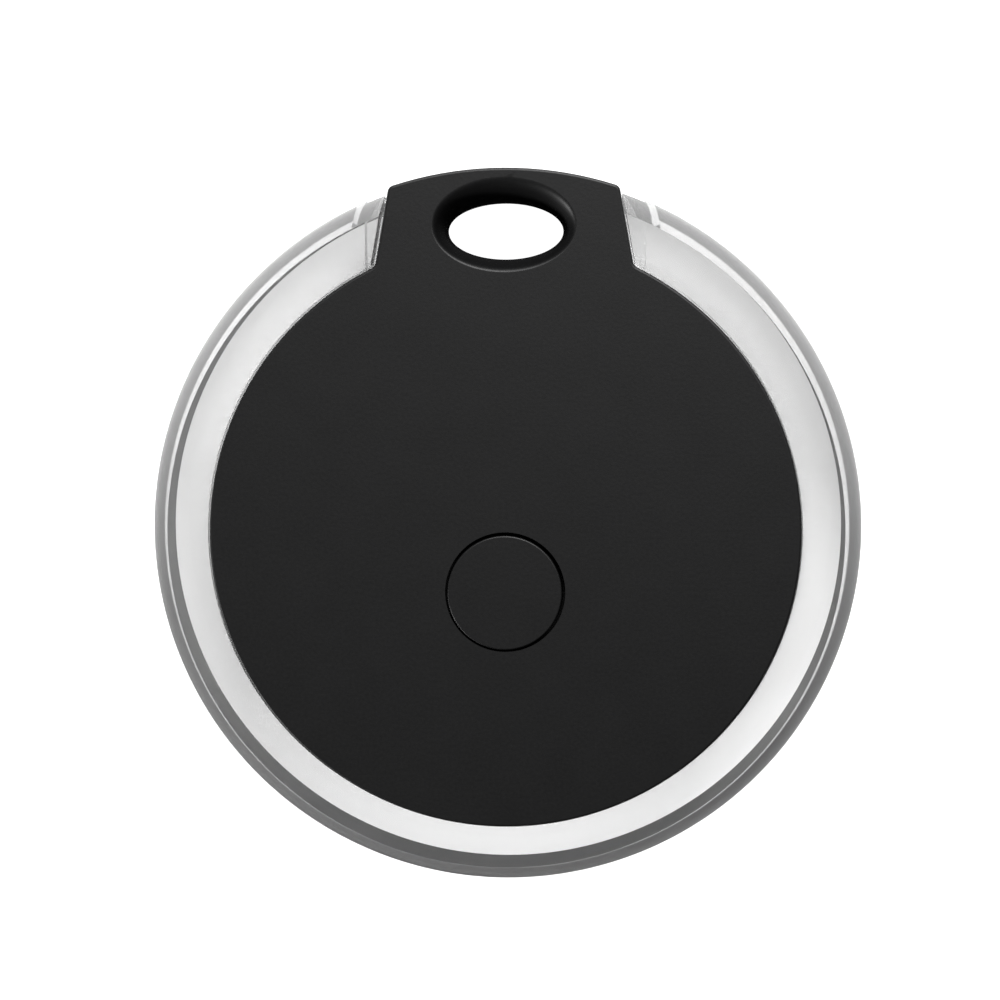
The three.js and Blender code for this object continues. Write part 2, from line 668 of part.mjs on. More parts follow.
// A bent leaf soldered to the board, whose free end touches the buzzer
function buzzerContact(x, top) {
  const low = BOARD_HIGH_Z + SOLDER;
  const end = LEAF_HALF_LENGTH;
  const leaf = [
    [-end, low],
    [end, low],
    [end, low + LEAF_SKIN],
    [3 * LEAF_SKIN - end, low + LEAF_SKIN],
    [end, top - LEAF_SKIN],
    [end, top],
    [end - 2 * LEAF_SKIN, top],
    [-end, low + LEAF_SKIN + FILM],
  ];
  return bentStrip(leaf, LEAF_WIDTH, [x, BUZZER_Y]);
}

// ---- The tag ----

const tag = new THREE.Group();

function addPiece(group, name, solid, finish) {
  const { vertProperties, triVerts } = solid.getMesh();
  const geometry = new THREE.BufferGeometry();
  geometry.setAttribute("position", new THREE.BufferAttribute(vertProperties, 3));
  geometry.setIndex(new THREE.BufferAttribute(triVerts, 1));
  geometry.computeVertexNormals();
  const mesh = new THREE.Mesh(geometry, finish);
  mesh.name = name;
  group.add(mesh);
}

const casing = new THREE.Group();
addPiece(casing, "front_shell", frontShell(), BLACK_PLASTIC);
addPiece(casing, "rear_shell", rearShell(), BLACK_PLASTIC);
addPiece(casing, "clear_ring", clearRing(), CLEAR_PLASTIC);
addPiece(casing, "button_cap", buttonCap(), BLACK_PLASTIC);
addPiece(casing, "battery_door", batteryDoor(), BLACK_PLASTIC);
addPiece(casing, "door_seal", doorSeal(), SILICONE);
tag.add(casing);

const coinCell = new THREE.Group();
addPiece(coinCell, "cell_can", cellCan(), STEEL);
addPiece(coinCell, "cell_cathode", cellCathode(), CHIP_BLACK);
addPiece(coinCell, "cell_anode", cellAnode(), STEEL);
addPiece(coinCell, "cell_gasket", cellGasket(), SWITCH_BLACK);
addPiece(coinCell, "cell_cap", cellCap(), STEEL);
tag.add(coinCell);

const board = new THREE.Group();
addPiece(board, "circuit_board", circuitBoard(), BOARD_GREEN);
addPiece(board, "negative_contact", negativeContact(), STEEL);
addPiece(board, "positive_contact", positiveContact(), STEEL);
addPiece(board, "bluetooth_chip", onBoard(CHIP_SIZE, CHIP_PLACE), CHIP_BLACK);
addPiece(board, "crystal", onBoard(CRYSTAL_SIZE, CRYSTAL_PLACE), STEEL);
addPiece(board, "chip_antenna", onBoard(ANTENNA_SIZE, ANTENNA_PLACE, ANTENNA_TURN), CERAMIC);
SCREW_ANGLES.forEach((angle, i) => addPiece(board, `board_screw_${i + 1}`, boardScrew(angle), STEEL));
LED_ANGLES.forEach((angle, i) => addPiece(board, `status_light_${i + 1}`, statusLight(angle), LED_WHITE));
CAPACITOR_PLACES.forEach((place, i) =>
  addPiece(board, `capacitor_${i + 1}`, onBoard(CAPACITOR_SIZE, place, CAPACITOR_TURN), CERAMIC),
);
tag.add(board);

const keySwitch = new THREE.Group();
addPiece(keySwitch, "switch_base", switchBase(), SWITCH_BLACK);
addPiece(keySwitch, "switch_cover", switchCover(), STEEL);
addPiece(keySwitch, "switch_dome", switchDome(), STEEL);
addPiece(keySwitch, "switch_plunger", switchPlunger(), SWITCH_BLACK);
tag.add(keySwitch);

const buzzer = new THREE.Group();
addPiece(buzzer, "buzzer_plate", buzzerPlate(), BRASS);
addPiece(buzzer, "buzzer_ceramic", buzzerCeramic(), CERAMIC);
addPiece(buzzer, "buzzer_tape", buzzerTape(), FOAM_TAPE);
const CERAMIC_LOW_Z = BUZZER_LOW_Z - BUZZER_CERAMIC_THICKNESS - FILM;
addPiece(buzzer, "buzzer_contact_1", buzzerContact(LEAF_PLACES[0], CERAMIC_LOW_Z - FILM), STEEL);
addPiece(buzzer, "buzzer_contact_2", buzzerContact(LEAF_PLACES[1], BUZZER_LOW_Z - FILM), STEEL);
tag.add(buzzer);

export default tag;
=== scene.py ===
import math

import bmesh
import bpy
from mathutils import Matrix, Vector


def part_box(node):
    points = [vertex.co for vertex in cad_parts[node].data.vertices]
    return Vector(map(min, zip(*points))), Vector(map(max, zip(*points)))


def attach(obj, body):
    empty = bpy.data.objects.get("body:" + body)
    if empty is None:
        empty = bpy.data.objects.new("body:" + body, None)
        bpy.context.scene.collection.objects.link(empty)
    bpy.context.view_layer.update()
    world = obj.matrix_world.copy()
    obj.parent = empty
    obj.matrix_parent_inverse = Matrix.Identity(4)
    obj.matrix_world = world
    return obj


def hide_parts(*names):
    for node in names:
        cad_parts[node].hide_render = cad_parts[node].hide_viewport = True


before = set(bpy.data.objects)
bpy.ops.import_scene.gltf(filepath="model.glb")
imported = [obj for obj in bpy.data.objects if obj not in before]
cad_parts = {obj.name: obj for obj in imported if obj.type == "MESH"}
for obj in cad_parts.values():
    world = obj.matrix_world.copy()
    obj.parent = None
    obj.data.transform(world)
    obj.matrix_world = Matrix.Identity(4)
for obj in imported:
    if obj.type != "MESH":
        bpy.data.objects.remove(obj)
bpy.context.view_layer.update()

# %% [markdown]
# # A round tracker tag
#
# The tag is a pocket-sized key finder: a black two-part shell with a keyring tab, a clear ring
# that glows when the tag is called, a push button in the face and a battery door in the back.
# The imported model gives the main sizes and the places, and named values give the finer ones.
# This lesson builds the finer shapes and the finishes, one piece at a time.

MM = 0.001
face_low, face_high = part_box("front_shell")
ring_low, ring_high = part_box("clear_ring")
button_low, button_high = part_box("button_cap")

FACE_Z = face_high.z
SPLIT_Z = FACE_Z / 2
DISC_RADIUS = -face_low.y
CROWN_RADIUS = face_high.y
RING_RADIUS = ring_high.x
BUTTON_Y = (button_low.y + button_high.y) / 2
print("disc", DISC_RADIUS / MM, "crown", CROWN_RADIUS / MM, "ring", RING_RADIUS / MM)

# %% [markdown]
# ## Colour, floor and light
#
# Product views like this are lit in a white tent: one big soft panel above the head of the
# subject, a smaller one low on the other side, and white paper underneath. The Standard view
# transform keeps white paper white and black plastic black, which a film-like curve would grey.
#
# The paper gives off some light of its own. Seen directly it is simply white. All rays see two
# weaker glows: one below the ring, strongest on the side away from the tab, and one outside the
# ring, strongest on the tab's side. They stand in for the light that a clear ring gathers in a
# white tent. Their amounts and edges were set by trial, until the ring had the wanted greys
# from above, so they aren't a measure of how the plastic behaves.

# %% Helpers for objects and materials
bpy.context.scene.view_settings.view_transform = "Standard"


def link_object(name, data):
    """Puts new data into the scene as an object at the origin."""
    thing = bpy.data.objects.new(name, data)
    bpy.context.scene.collection.objects.link(thing)
    return thing


def mesh_object(name, bm, finish):
    """Turns a bmesh into an object with one material."""
    mesh = bpy.data.meshes.new(name)
    bm.to_mesh(mesh)
    bm.free()
    mesh.materials.append(finish)
    return link_object(name, mesh)


def new_material(name):
    """A material with only a Principled shader, which each finish then sets up."""
    material = bpy.data.materials.new(name)
    material.use_nodes = True
    return material, material.node_tree, material.node_tree.nodes["Principled BSDF"]


print("view transform", bpy.context.scene.view_settings.view_transform)

# %% Helpers for values in a material


def map_range(tree, source, low, high, to_low=0.0, to_high=1.0):
    """Maps a value from low..high to to_low..to_high, and stops at both ends."""
    mapped = tree.nodes.new("ShaderNodeMapRange")
    for name, value in (
        ("From Min", low), ("From Max", high), ("To Min", to_low), ("To Max", to_high),
    ):
        mapped.inputs[name].default_value = value
    tree.links.new(source, mapped.inputs["Value"])
    return mapped.outputs["Result"]


def calculate(tree, operation, first, second=None):
    """A math node on one or two values, where the second may be a plain number."""
    node = tree.nodes.new("ShaderNodeMath")
    node.operation = operation
    tree.links.new(first, node.inputs[0])
    if isinstance(second, (int, float)):
        node.inputs[1].default_value = second
    elif second is not None:
        tree.links.new(second, node.inputs[1])
    return node.outputs[0]


# %% Paper
PAPER_TONE = 0.52
PAPER_ROUGH = 0.9
PAPER_WHITE = 1.1
GATHERED_NEAR, GATHERED_FAR = 0.02, 0.76
GATHERED_FADE = 3.0 * MM
GATHERED_START = Vector((15.9, 16.6)) * MM
GATHERED_END = Vector((18.6, 19.6)) * MM
TENT_GLOW = 0.85
TENT_START = Vector((19.3, 20.2)) * MM
TENT_RISE = Vector((-6.0, 14.0)) * MM

paper, tree, shader = new_material("studio_paper")
shader.inputs["Base Color"].default_value = (PAPER_TONE, PAPER_TONE, PAPER_TONE, 1)
shader.inputs["Roughness"].default_value = PAPER_ROUGH
shader.inputs["Emission Color"].default_value = (1, 1, 1, 1)
where = tree.nodes.new("ShaderNodeTexCoord")
reach = tree.nodes.new("ShaderNodeVectorMath")
reach.operation = "LENGTH"
tree.links.new(where.outputs["Object"], reach.inputs[0])
parts = tree.nodes.new("ShaderNodeSeparateXYZ")
tree.links.new(where.outputs["Object"], parts.inputs["Vector"])
outside_shell = map_range(tree, reach.outputs["Value"], *GATHERED_START)
inside_rim = map_range(tree, reach.outputs["Value"], *GATHERED_END, 1.0, 0.0)
under = calculate(tree, "MULTIPLY", outside_shell, inside_rim)
across = map_range(
    tree, parts.outputs["Y"], -RING_RADIUS, GATHERED_FADE, GATHERED_FAR, GATHERED_NEAR
)
gathered = calculate(tree, "MULTIPLY", under, across)
beyond = map_range(tree, reach.outputs["Value"], *TENT_START)
behind = map_range(tree, parts.outputs["Y"], *TENT_RISE, 0.0, TENT_GLOW)
tent = calculate(tree, "MULTIPLY", beyond, behind)
spread_light = calculate(tree, "MAXIMUM", gathered, tent)
seen = tree.nodes.new("ShaderNodeLightPath")
direct = map_range(tree, seen.outputs["Is Camera Ray"], 0, 1, 0.0, PAPER_WHITE)
glow = calculate(tree, "MAXIMUM", spread_light, direct)
tree.links.new(glow, shader.inputs["Emission Strength"])
print("paper glows up to", GATHERED_FAR, "below the ring and", TENT_GLOW, "outside it")

# %% Floor
FLOOR_HALF = 1.2
FLOOR_DROP = 0.05 * MM

bm = bmesh.new()
bmesh.ops.create_grid(bm, x_segments=1, y_segments=1, size=FLOOR_HALF)
floor = mesh_object("studio_floor", bm, paper)
floor.location.z = -FLOOR_DROP
print("floor", 2 * FLOOR_HALF, "m across")

# %% Lights
WORLD_STRENGTH = 0.03

world = bpy.data.worlds.new("studio")
bpy.context.scene.world = world
world.use_nodes = True
world.node_tree.nodes["Background"].inputs["Color"].default_value = (1, 1, 1, 1)
world.node_tree.nodes["Background"].inputs["Strength"].default_value = WORLD_STRENGTH


def softbox(name, place, size, power):
    """A square panel that faces the tag's middle, in metres and watts."""
    data = bpy.data.lights.new(name, "AREA")
    data.size = size
    data.energy = power
    lamp = link_object(name, data)
    lamp.location = place
    lamp.rotation_euler = (-Vector(place)).to_track_quat("-Z", "Y").to_euler()
    return lamp


softbox("panel_above", (0.05, 0.225, 0.213), size=0.19, power=1.22)
softbox("panel_low", (-0.36, -0.24, 0.11), size=0.06, power=1.1)

# %% [markdown]
# ## Camera
#
# The face is seen almost square on, from a short distance: the far side of the keyring hole
# looks smaller than its near side. The camera stands a little towards the keyring tab and a
# little to the right, and looks at a point just above the middle of the face.

# %% Camera
CAMERA_DISTANCE = 150 * MM
CAMERA_OFFSET = Vector((4.02, 13.2, 0)) * MM
LOOK_AT = Vector((-0.255, 1.811, FACE_Z / MM)) * MM
VIEW_WIDTH = 52.9 * MM
CAMERA_ROLL = math.radians(-0.2)
NEAR_CLIP = 5 * MM

camera_data = bpy.data.cameras.new("camera")
camera = link_object("camera", camera_data)
camera.location = CAMERA_OFFSET + Vector((0, 0, FACE_Z + CAMERA_DISTANCE))
sight = LOOK_AT - camera.location
camera.rotation_mode = "QUATERNION"
upright = Matrix.Rotation(CAMERA_ROLL, 4, "Z") @ Vector((0, 1, 0))
across = sight.cross(upright).normalized()
turn = Matrix((across, across.cross(sight).normalized(), -sight.normalized())).transposed()
camera.rotation_quaternion = turn.to_quaternion()
camera_data.lens = camera_data.sensor_width * sight.length / VIEW_WIDTH
camera_data.clip_start = NEAR_CLIP
bpy.context.scene.camera = camera
print("lens", round(camera_data.lens, 2), "mm")

# %% [markdown]
# ## Helpers for shapes
#
# Every round piece is a short profile spun about the tag's axis, and every flat piece is an
# outline pulled up and then bevelled. Where a piece is rounded, its hard edges are found by
# their angle, because no moulded edge is quite sharp. Edges that a later cut makes stay sharp.

# %% Spinning, softening and carving
ROUND_STEPS = 160
WELD = 1e-7
ON_AXIS = 1e-6


def profile_wire(bm, points):
    """Adds a chain of [radius, height] points in the XZ plane, and returns its vertices."""
    chain = [bm.verts.new((radius, 0, height)) for radius, height in points]
    for a, b in zip(chain, chain[1:]):
        bm.edges.new((a, b))
    return chain


def spin_full(bm, centre=(0, 0, 0), steps=ROUND_STEPS):
    """Spins everything in bm once about an upright axis, and makes each flat end one face."""
    bmesh.ops.spin(
        bm, geom=bm.verts[:] + bm.edges[:], cent=centre, axis=(0, 0, 1),
        angle=2 * math.pi, steps=steps, use_merge=True,
    )
    bmesh.ops.remove_doubles(bm, verts=bm.verts[:], dist=WELD)
    hubs = [v for v in bm.verts if (v.co.xy - Vector(centre).xy).length < ON_AXIS]
    bmesh.ops.dissolve_verts(bm, verts=hubs)
    bmesh.ops.recalc_face_normals(bm, faces=bm.faces[:])


def hard_edges(bm, degrees=35):
    """The edges whose two faces meet at more than this angle."""
    limit = math.radians(degrees)
    return [e for e in bm.edges if len(e.link_faces) == 2 and e.calc_face_angle() > limit]


def soften(bm, width, segments=4, edges=None):
    """Rounds the given edges, or all hard ones, with a bevel."""
    bmesh.ops.bevel(
        bm, geom=hard_edges(bm) if edges is None else edges, offset=width,
        segments=segments, profile=0.5, affect="EDGES", material=-1, clamp_overlap=True,
    )


def carve(piece, cutter, operation="DIFFERENCE"):
    """Cuts one object by another, or joins them, and removes the second."""
    step = piece.modifiers.new("carve", "BOOLEAN")
    step.object = cutter
    step.operation = operation
    step.solver = "EXACT"
    shaped = piece.evaluated_get(bpy.context.evaluated_depsgraph_get())
    mesh = bpy.data.meshes.new_from_object(shaped)
    piece.modifiers.clear()
    piece.data = mesh
    bpy.data.objects.remove(cutter)


def shade(piece, degrees=28):
    """Shades a piece smooth up to an angle, and lets its large flat faces set the normals."""
    piece.data.shade_smooth()
    piece.data.set_sharp_from_angle(angle=math.radians(degrees))
    weigh = piece.modifiers.new("weigh", "WEIGHTED_NORMAL")
    weigh.keep_sharp = True
    return piece


def place_piece(piece, body, slot, *nodes):
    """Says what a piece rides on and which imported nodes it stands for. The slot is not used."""
    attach(piece, body)
    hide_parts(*nodes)
    print(piece.name, len(piece.data.vertices), "vertices")


print("points closer than", WELD, "m are welded")

# %% Hoops, sectors and posts
SECTOR_STEPS = 12


def hoop_profile(inner, outer, low, high):
    """The square section of a hoop."""
    return [(inner, low), (outer, low), (outer, high), (inner, high)]


def ring_of_wall(inner, outer, low, high, finish, name="cutter"):
    """A square-edged hoop, used to cut grooves."""
    bm = bmesh.new()
    chain = profile_wire(bm, hoop_profile(inner, outer, low, high))
    bm.edges.new((chain[-1], chain[0]))
    spin_full(bm)
    return mesh_object(name, bm, finish)


def turned_piece(name, profile, finish, edge=0.0, segments=3, centre=(0, 0), steps=ROUND_STEPS):
    """Spins a closed profile of [radius, height] points in millimetres, with rounded edges."""
    bm = bmesh.new()
    chain = profile_wire(bm, [(radius * MM, height * MM) for radius, height in profile])
    if profile[0][0] > 0:
        bm.edges.new((chain[-1], chain[0]))
    spin_full(bm, steps=steps)
    if edge:
        soften(bm, edge * MM, segments)
    bmesh.ops.translate(bm, verts=bm.verts[:], vec=(*centre, 0))
    return mesh_object(name, bm, finish)


def sector(inner, outer, low, high, middle, width, finish, edge=0.0, name="cutter"):
    """A piece of a hoop, given in millimetres and centred on an angle in degrees."""
    bm = bmesh.new()
    corners = hoop_profile(inner, outer, low, high)
    chain = profile_wire(bm, [(radius * MM, height * MM) for radius, height in corners])
    bm.edges.new((chain[-1], chain[0]))
    start = Matrix.Rotation(math.radians(middle - width / 2), 4, "Z")
    bmesh.ops.transform(bm, matrix=start, verts=bm.verts[:])
    bmesh.ops.spin(
        bm, geom=bm.verts[:] + bm.edges[:], cent=(0, 0, 0), axis=(0, 0, 1),
        angle=math.radians(width), steps=SECTOR_STEPS,
    )
    bmesh.ops.holes_fill(bm, edges=bm.edges[:], sides=4)
    bmesh.ops.recalc_face_normals(bm, faces=bm.faces[:])
    if edge:
        soften(bm, edge * MM, 2)
    return mesh_object(name, bm, finish)


def polar(radius, degrees):
    """A point at a radius in millimetres and an angle in degrees."""
    turn = math.radians(degrees)
    return radius * MM * math.cos(turn), radius * MM * math.sin(turn)


def round_post(radius, low, high, x, y, finish, steps=ROUND_STEPS, name="cutter"):
    """A plain round post, used to cut holes and to add bosses."""
    bm = bmesh.new()
    middle = Matrix.Translation((x, y, (low + high) / 2))
    bmesh.ops.create_cone(
        bm, cap_ends=True, segments=steps, radius1=radius, radius2=radius,
        depth=high - low, matrix=middle,
    )
    return mesh_object(name, bm, finish)


print("round pieces have", ROUND_STEPS, "steps")

# %% [markdown]
# ## Black moulded plastic
#
# The shells are moulded with a fine spark-eroded grain: nearly matt, with a faint soft sheen.
# The grain is a noise far finer than a millimetre that both lifts the surface and changes how
# rough it is. A second, broader noise makes slow patches in colour and roughness, as handling
# does. Edge wear isn't modelled.
#
# The base colour here is far darker than that of real black plastic, which is about 0.03. It
# lets the sheen of the upper panel alone set the tone of the face, so that the face falls off
# from the tab downwards. Under other lights the real value is the better choice.

# %% Node helpers


def add_node(tree, kind, **values):
    """Adds a shader node and sets its inputs by name."""
    node = tree.nodes.new(kind)
    for name, value in values.items():
        node.inputs[name.replace("_", " ")].default_value = value
    return node


def new_group(name, inputs, outputs):
    """A shader node group with named value sockets and one place socket."""
    group = bpy.data.node_groups.new(name, "ShaderNodeTree")
    group.interface.new_socket("Place", in_out="INPUT", socket_type="NodeSocketVector")
    for label, default in inputs.items():
        made = group.interface.new_socket(label, in_out="INPUT", socket_type="NodeSocketFloat")
        made.default_value = default
    for label in outputs:
        group.interface.new_socket(label, in_out="OUTPUT", socket_type="NodeSocketFloat")
    return group, group.nodes.new("NodeGroupInput"), group.nodes.new("NodeGroupOutput")


# %% The grain group
PATCH_SHARE = 0.25


def make_grain():
    """Fine grain plus slow patches: Patch is the patches alone, and Height joins the two."""
    group, given, made = new_group(
        "fine_grain", {"Fine Scale": 9000.0, "Patch Scale": 260.0}, ["Patch", "Height"]
    )
    fine = add_node(group, "ShaderNodeTexNoise", Detail=3.0, Roughness=0.6)
    patch = add_node(group, "ShaderNodeTexNoise", Detail=4.0, Roughness=0.55)
    for noise, label in ((fine, "Fine Scale"), (patch, "Patch Scale")):
        group.links.new(given.outputs["Place"], noise.inputs["Vector"])
        group.links.new(given.outputs[label], noise.inputs["Scale"])
    group.links.new(patch.outputs["Fac"], made.inputs["Patch"])
    mixed = group.nodes.new("ShaderNodeMath")
    mixed.operation = "MULTIPLY_ADD"
    mixed.inputs[1].default_value = PATCH_SHARE
    group.links.new(patch.outputs["Fac"], mixed.inputs[0])
    group.links.new(fine.outputs["Fac"], mixed.inputs[2])
    group.links.new(mixed.outputs[0], made.inputs["Height"])
    return group


GRAIN = make_grain()
print("grain group sockets", [s.name for s in GRAIN.interface.items_tree])

# %% A finish with grain


def place_grain(tree, fine_scale, patch_scale):
    """Puts the grain group into a material, on the piece's own coordinates."""
    grain = tree.nodes.new("ShaderNodeGroup")
    grain.node_tree = GRAIN
    grain.inputs["Fine Scale"].default_value = fine_scale
    grain.inputs["Patch Scale"].default_value = patch_scale
    where = tree.nodes.new("ShaderNodeTexCoord")
    tree.links.new(where.outputs["Object"], grain.inputs["Place"])
    return grain


def bump(tree, height, shader, strength, depth):
    """Drives the shader's normal from a height."""
    lift = add_node(tree, "ShaderNodeBump", Strength=strength, Distance=depth)
    tree.links.new(height, lift.inputs["Height"])
    tree.links.new(lift.outputs["Normal"], shader.inputs["Normal"])
    return lift


def blend_colours(tree, factor, dark, light):
    """A colour that runs from dark to light as the factor goes from 0 to 1."""
    mix = tree.nodes.new("ShaderNodeMix")
    mix.data_type = "RGBA"
    mix.inputs[6].default_value = (*dark, 1)
    mix.inputs[7].default_value = (*light, 1)
    tree.links.new(factor, mix.inputs["Factor"])
    return mix.outputs[2]


def grained(name, dark, light, rough=(0.4, 0.55), metal=0.0, fine=9000.0, patch=260.0, lift=0.2,
            depth=0.02, shine=0.5):
    """A finish with grain: two near colours, a span of roughness and a fine bump."""
    material, tree, shader = new_material(name)
    grain = place_grain(tree, fine, patch)
    colour = blend_colours(tree, grain.outputs["Patch"], dark, light)
    tree.links.new(colour, shader.inputs["Base Color"])
    dullness = map_range(tree, grain.outputs["Height"], 0, 1, *rough)
    tree.links.new(dullness, shader.inputs["Roughness"])
    shader.inputs["Metallic"].default_value = metal
    shader.inputs["Specular IOR Level"].default_value = shine
    bump(tree, grain.outputs["Height"], shader, lift, depth * MM)
    return material


# %% Black plastic
black_plastic = grained(
    "black_plastic", (0.0012, 0.0012, 0.0014), (0.0028, 0.0028, 0.0031), (0.43, 0.55),
    fine=5500.0, patch=420.0, lift=0.24, shine=0.58,
)
print(black_plastic.name, len(black_plastic.node_tree.nodes), "nodes")

# %% [markdown]
# ## Outline of the body
#
# Seen from the front the body is a disc with a tab whose sides lean in towards a curved crown.
# A small hollow fillet leads from the disc into each side, and a small round corner leads into
# the crown. The right half is one vertex spun through four arcs, and mirror makes the left.

# %% The outline as arcs
SIDE_FOOT = Vector((6.8, 14.2)) * MM
SIDE_HEAD = Vector((6.24, 17.4)) * MM
NECK_FILLET = 0.45 * MM
CROWN_FILLET = 0.4 * MM
ARC_STEP = math.radians(2)


def beside_tab(off_line, radius):
    """The point a distance off the tab's side line and a radius from the middle."""
    side = (SIDE_HEAD - SIDE_FOOT).normalized()
    base = SIDE_FOOT + Vector((side.y, -side.x)) * off_line
    near = base.dot(side)
    along = -near + math.sqrt(near * near - base.length_squared + radius * radius)
    return base + side * along


def bearing(point):
    """The angle of a point seen from the middle, from +X."""
    return math.atan2(point[1], point[0])


def swing(bm, vertex, centre, angle):
    """Spins one vertex about a centre into an arc, and returns the last vertex."""
    steps = max(6, math.ceil(abs(angle) / ARC_STEP))
    made = bmesh.ops.spin(
        bm, geom=[vertex], cent=(centre[0], centre[1], vertex.co.z), axis=(0, 0, 1),
        angle=angle, steps=steps,
    )
    return next(g for g in made["geom_last"] if isinstance(g, bmesh.types.BMVert))


def body_outline(bm, disc, grow, crown, z):
    """Draws the closed outline at a height and fills it with one face."""
    lean = bearing(((SIDE_HEAD - SIDE_FOOT).y, (SIDE_FOOT - SIDE_HEAD).x))
    fillet = NECK_FILLET - grow
    neck = beside_tab(grow + fillet, disc + fillet)
    corner = beside_tab(grow - CROWN_FILLET, crown - CROWN_FILLET)
    tip = bm.verts.new((0, -disc, z))
    tip = swing(bm, tip, (0, 0), bearing(neck) + math.pi / 2)
    tip = swing(bm, tip, neck, lean - bearing(neck))
    start = corner + Vector((math.cos(lean), math.sin(lean))) * CROWN_FILLET
    head = bm.verts.new((start.x, start.y, z))
    bm.edges.new((tip, head))
    head = swing(bm, head, corner, bearing(corner) - lean)
    swing(bm, head, (0, 0), math.pi / 2 - bearing(corner))
    bmesh.ops.mirror(bm, geom=bm.verts[:] + bm.edges[:], axis="X", merge_dist=1e-6)
    bmesh.ops.remove_doubles(bm, verts=bm.verts[:], dist=WELD)
    made = bmesh.ops.contextual_create(bm, geom=bm.edges[:])
    return made["faces"][0]


def raise_face(bm, face, height):
    """Pulls a face up into a slab."""
    made = bmesh.ops.extrude_face_region(bm, geom=[face])
    lifted = [g for g in made["geom"] if isinstance(g, bmesh.types.BMVert)]
    bmesh.ops.translate(bm, verts=lifted, vec=(0, 0, height))
    bmesh.ops.recalc_face_normals(bm, faces=bm.faces[:])


def outline_slab(name, disc, grow, crown, low, high, finish, edge=0.0, segments=6):
    """The body's outline as a slab, with both rims rounded if edge is given."""
    bm = bmesh.new()
    raise_face(bm, body_outline(bm, disc, grow, crown, low), high - low)
    if edge:
        rims = [e for e in bm.edges if abs(e.verts[0].co.z - e.verts[1].co.z) < WELD]
        soften(bm, edge, segments, rims)
    return mesh_object(name, bm, finish)


print("tab is", 2 * SIDE_FOOT.x / MM, "mm wide at its foot and", 2 * SIDE_HEAD.x / MM, "at its head")

# %% [markdown]
# ## Keyring hole
#
# The hole is an oval that is narrowest halfway through and flares out to both faces, so that a
# split ring has no edge to rub on. It is cut with a plug: a circle that is extruded level by
# level and scaled to the flare at each.

# %% The plug for the keyring hole
HOLE_Y = 16.02 * MM
HOLE_HALF = Vector((3.1, 1.5)) * MM
HOLE_FLARE = Vector((0.74, 1.02)) * MM
HOLE_FLARE_SHIFT = 0.3 * MM
HOLE_LEVELS = 14
HOLE_PAST = 1.1
HOLE_SIDES = 128


def hole_point(spot):
    """Moves a point of a unit post onto the hole's wall: z runs from -1, the back, to 1, the face."""
    level = max(-1.0, min(1.0, spot.z))
    flare = 1 - math.sqrt(1 - level * level)
    girth = HOLE_HALF + HOLE_FLARE * flare
    middle = HOLE_Y + HOLE_FLARE_SHIFT * flare
    return spot.x * girth.x, middle + spot.y * girth.y, SPLIT_Z * (1 + spot.z)


def keyring_plug(finish):
    """A solid of the space inside the keyring hole, a little longer than the body is thick."""
    bm = bmesh.new()
    steps = [math.sin(math.pi / 2 * i / HOLE_LEVELS) for i in range(-HOLE_LEVELS, HOLE_LEVELS + 1)]
    levels = [-HOLE_PAST, *steps, HOLE_PAST]
    bmesh.ops.create_circle(bm, cap_ends=False, segments=HOLE_SIDES, radius=1)
    bmesh.ops.translate(bm, verts=bm.verts[:], vec=(0, 0, levels[0]))
    rim = bm.edges[:]
    bmesh.ops.contextual_create(bm, geom=rim)
    for low, high in zip(levels, levels[1:]):
        made = bmesh.ops.extrude_edge_only(bm, edges=rim)
        moved = [g for g in made["geom"] if isinstance(g, bmesh.types.BMVert)]
        rim = [g for g in made["geom"] if isinstance(g, bmesh.types.BMEdge)]
        bmesh.ops.translate(bm, verts=moved, vec=(0, 0, high - low))
    bmesh.ops.contextual_create(bm, geom=rim)
    for vertex in bm.verts:
        vertex.co = hole_point(vertex.co)
    bmesh.ops.recalc_face_normals(bm, faces=bm.faces[:])
    return mesh_object("cutter", bm, finish)


print("hole is", 2 * HOLE_HALF.x / MM, "by", 2 * HOLE_HALF.y / MM, "mm at its narrowest")

# %% [markdown]
# ## Front shell
#
# The front shell is half of the slab: the other half is cut away at the split line. Inside it
# is hollow, and round its rim runs a step that holds the clear ring's tongue. Two low hoops
# are joined to the inside of the face: a collar round the button and a seat for the buzzer.
# Four windows let the light of the board's lamps out to the ring.

# %% Half of the body
FACE_EDGE = 0.15 * MM
RABBET_RADIUS = 14.35 * MM
GROOVE_LOW, GROOVE_HIGH = 3.0 * MM, 5.0 * MM
TAB_HALF = 7.3 * MM
PAST = 1.0 * MM


def block(size, middle, turn, finish, name="cutter"):
    """A box of a size about a middle, turned about the upright axis."""
    bm = bmesh.new()
    bmesh.ops.create_cube(bm, size=1.0)
    bmesh.ops.scale(bm, verts=bm.verts[:], vec=size)
    spot = Matrix.Translation(middle) @ Matrix.Rotation(turn, 4, "Z")
    bmesh.ops.transform(bm, matrix=spot, verts=bm.verts[:])
    return mesh_object(name, bm, finish)


def tongue_groove(finish):
    """The step round both shells, left out across the tab."""
    groove = ring_of_wall(RABBET_RADIUS, DISC_RADIUS + PAST, GROOVE_LOW, GROOVE_HIGH, finish)
    tab = Vector((2 * TAB_HALF, CROWN_RADIUS, FACE_Z))
    carve(groove, block(tab, Vector((0, CROWN_RADIUS / 2, SPLIT_Z)), 0, finish))
    return groove


def half_body(name, low, high, finish):
    """The rounded slab, kept between two heights, with the keyring hole and the ring's step."""
    slab = outline_slab(name, DISC_RADIUS, 0, CROWN_RADIUS, 0, FACE_Z, finish, FACE_EDGE)
    wide = 3 * CROWN_RADIUS
    kept = block(Vector((wide, wide, high - low)), Vector((0, 0, (low + high) / 2)), 0, finish)
    carve(slab, kept, "INTERSECT")
    carve(slab, tongue_groove(finish))
    carve(slab, keyring_plug(finish))
    return slab


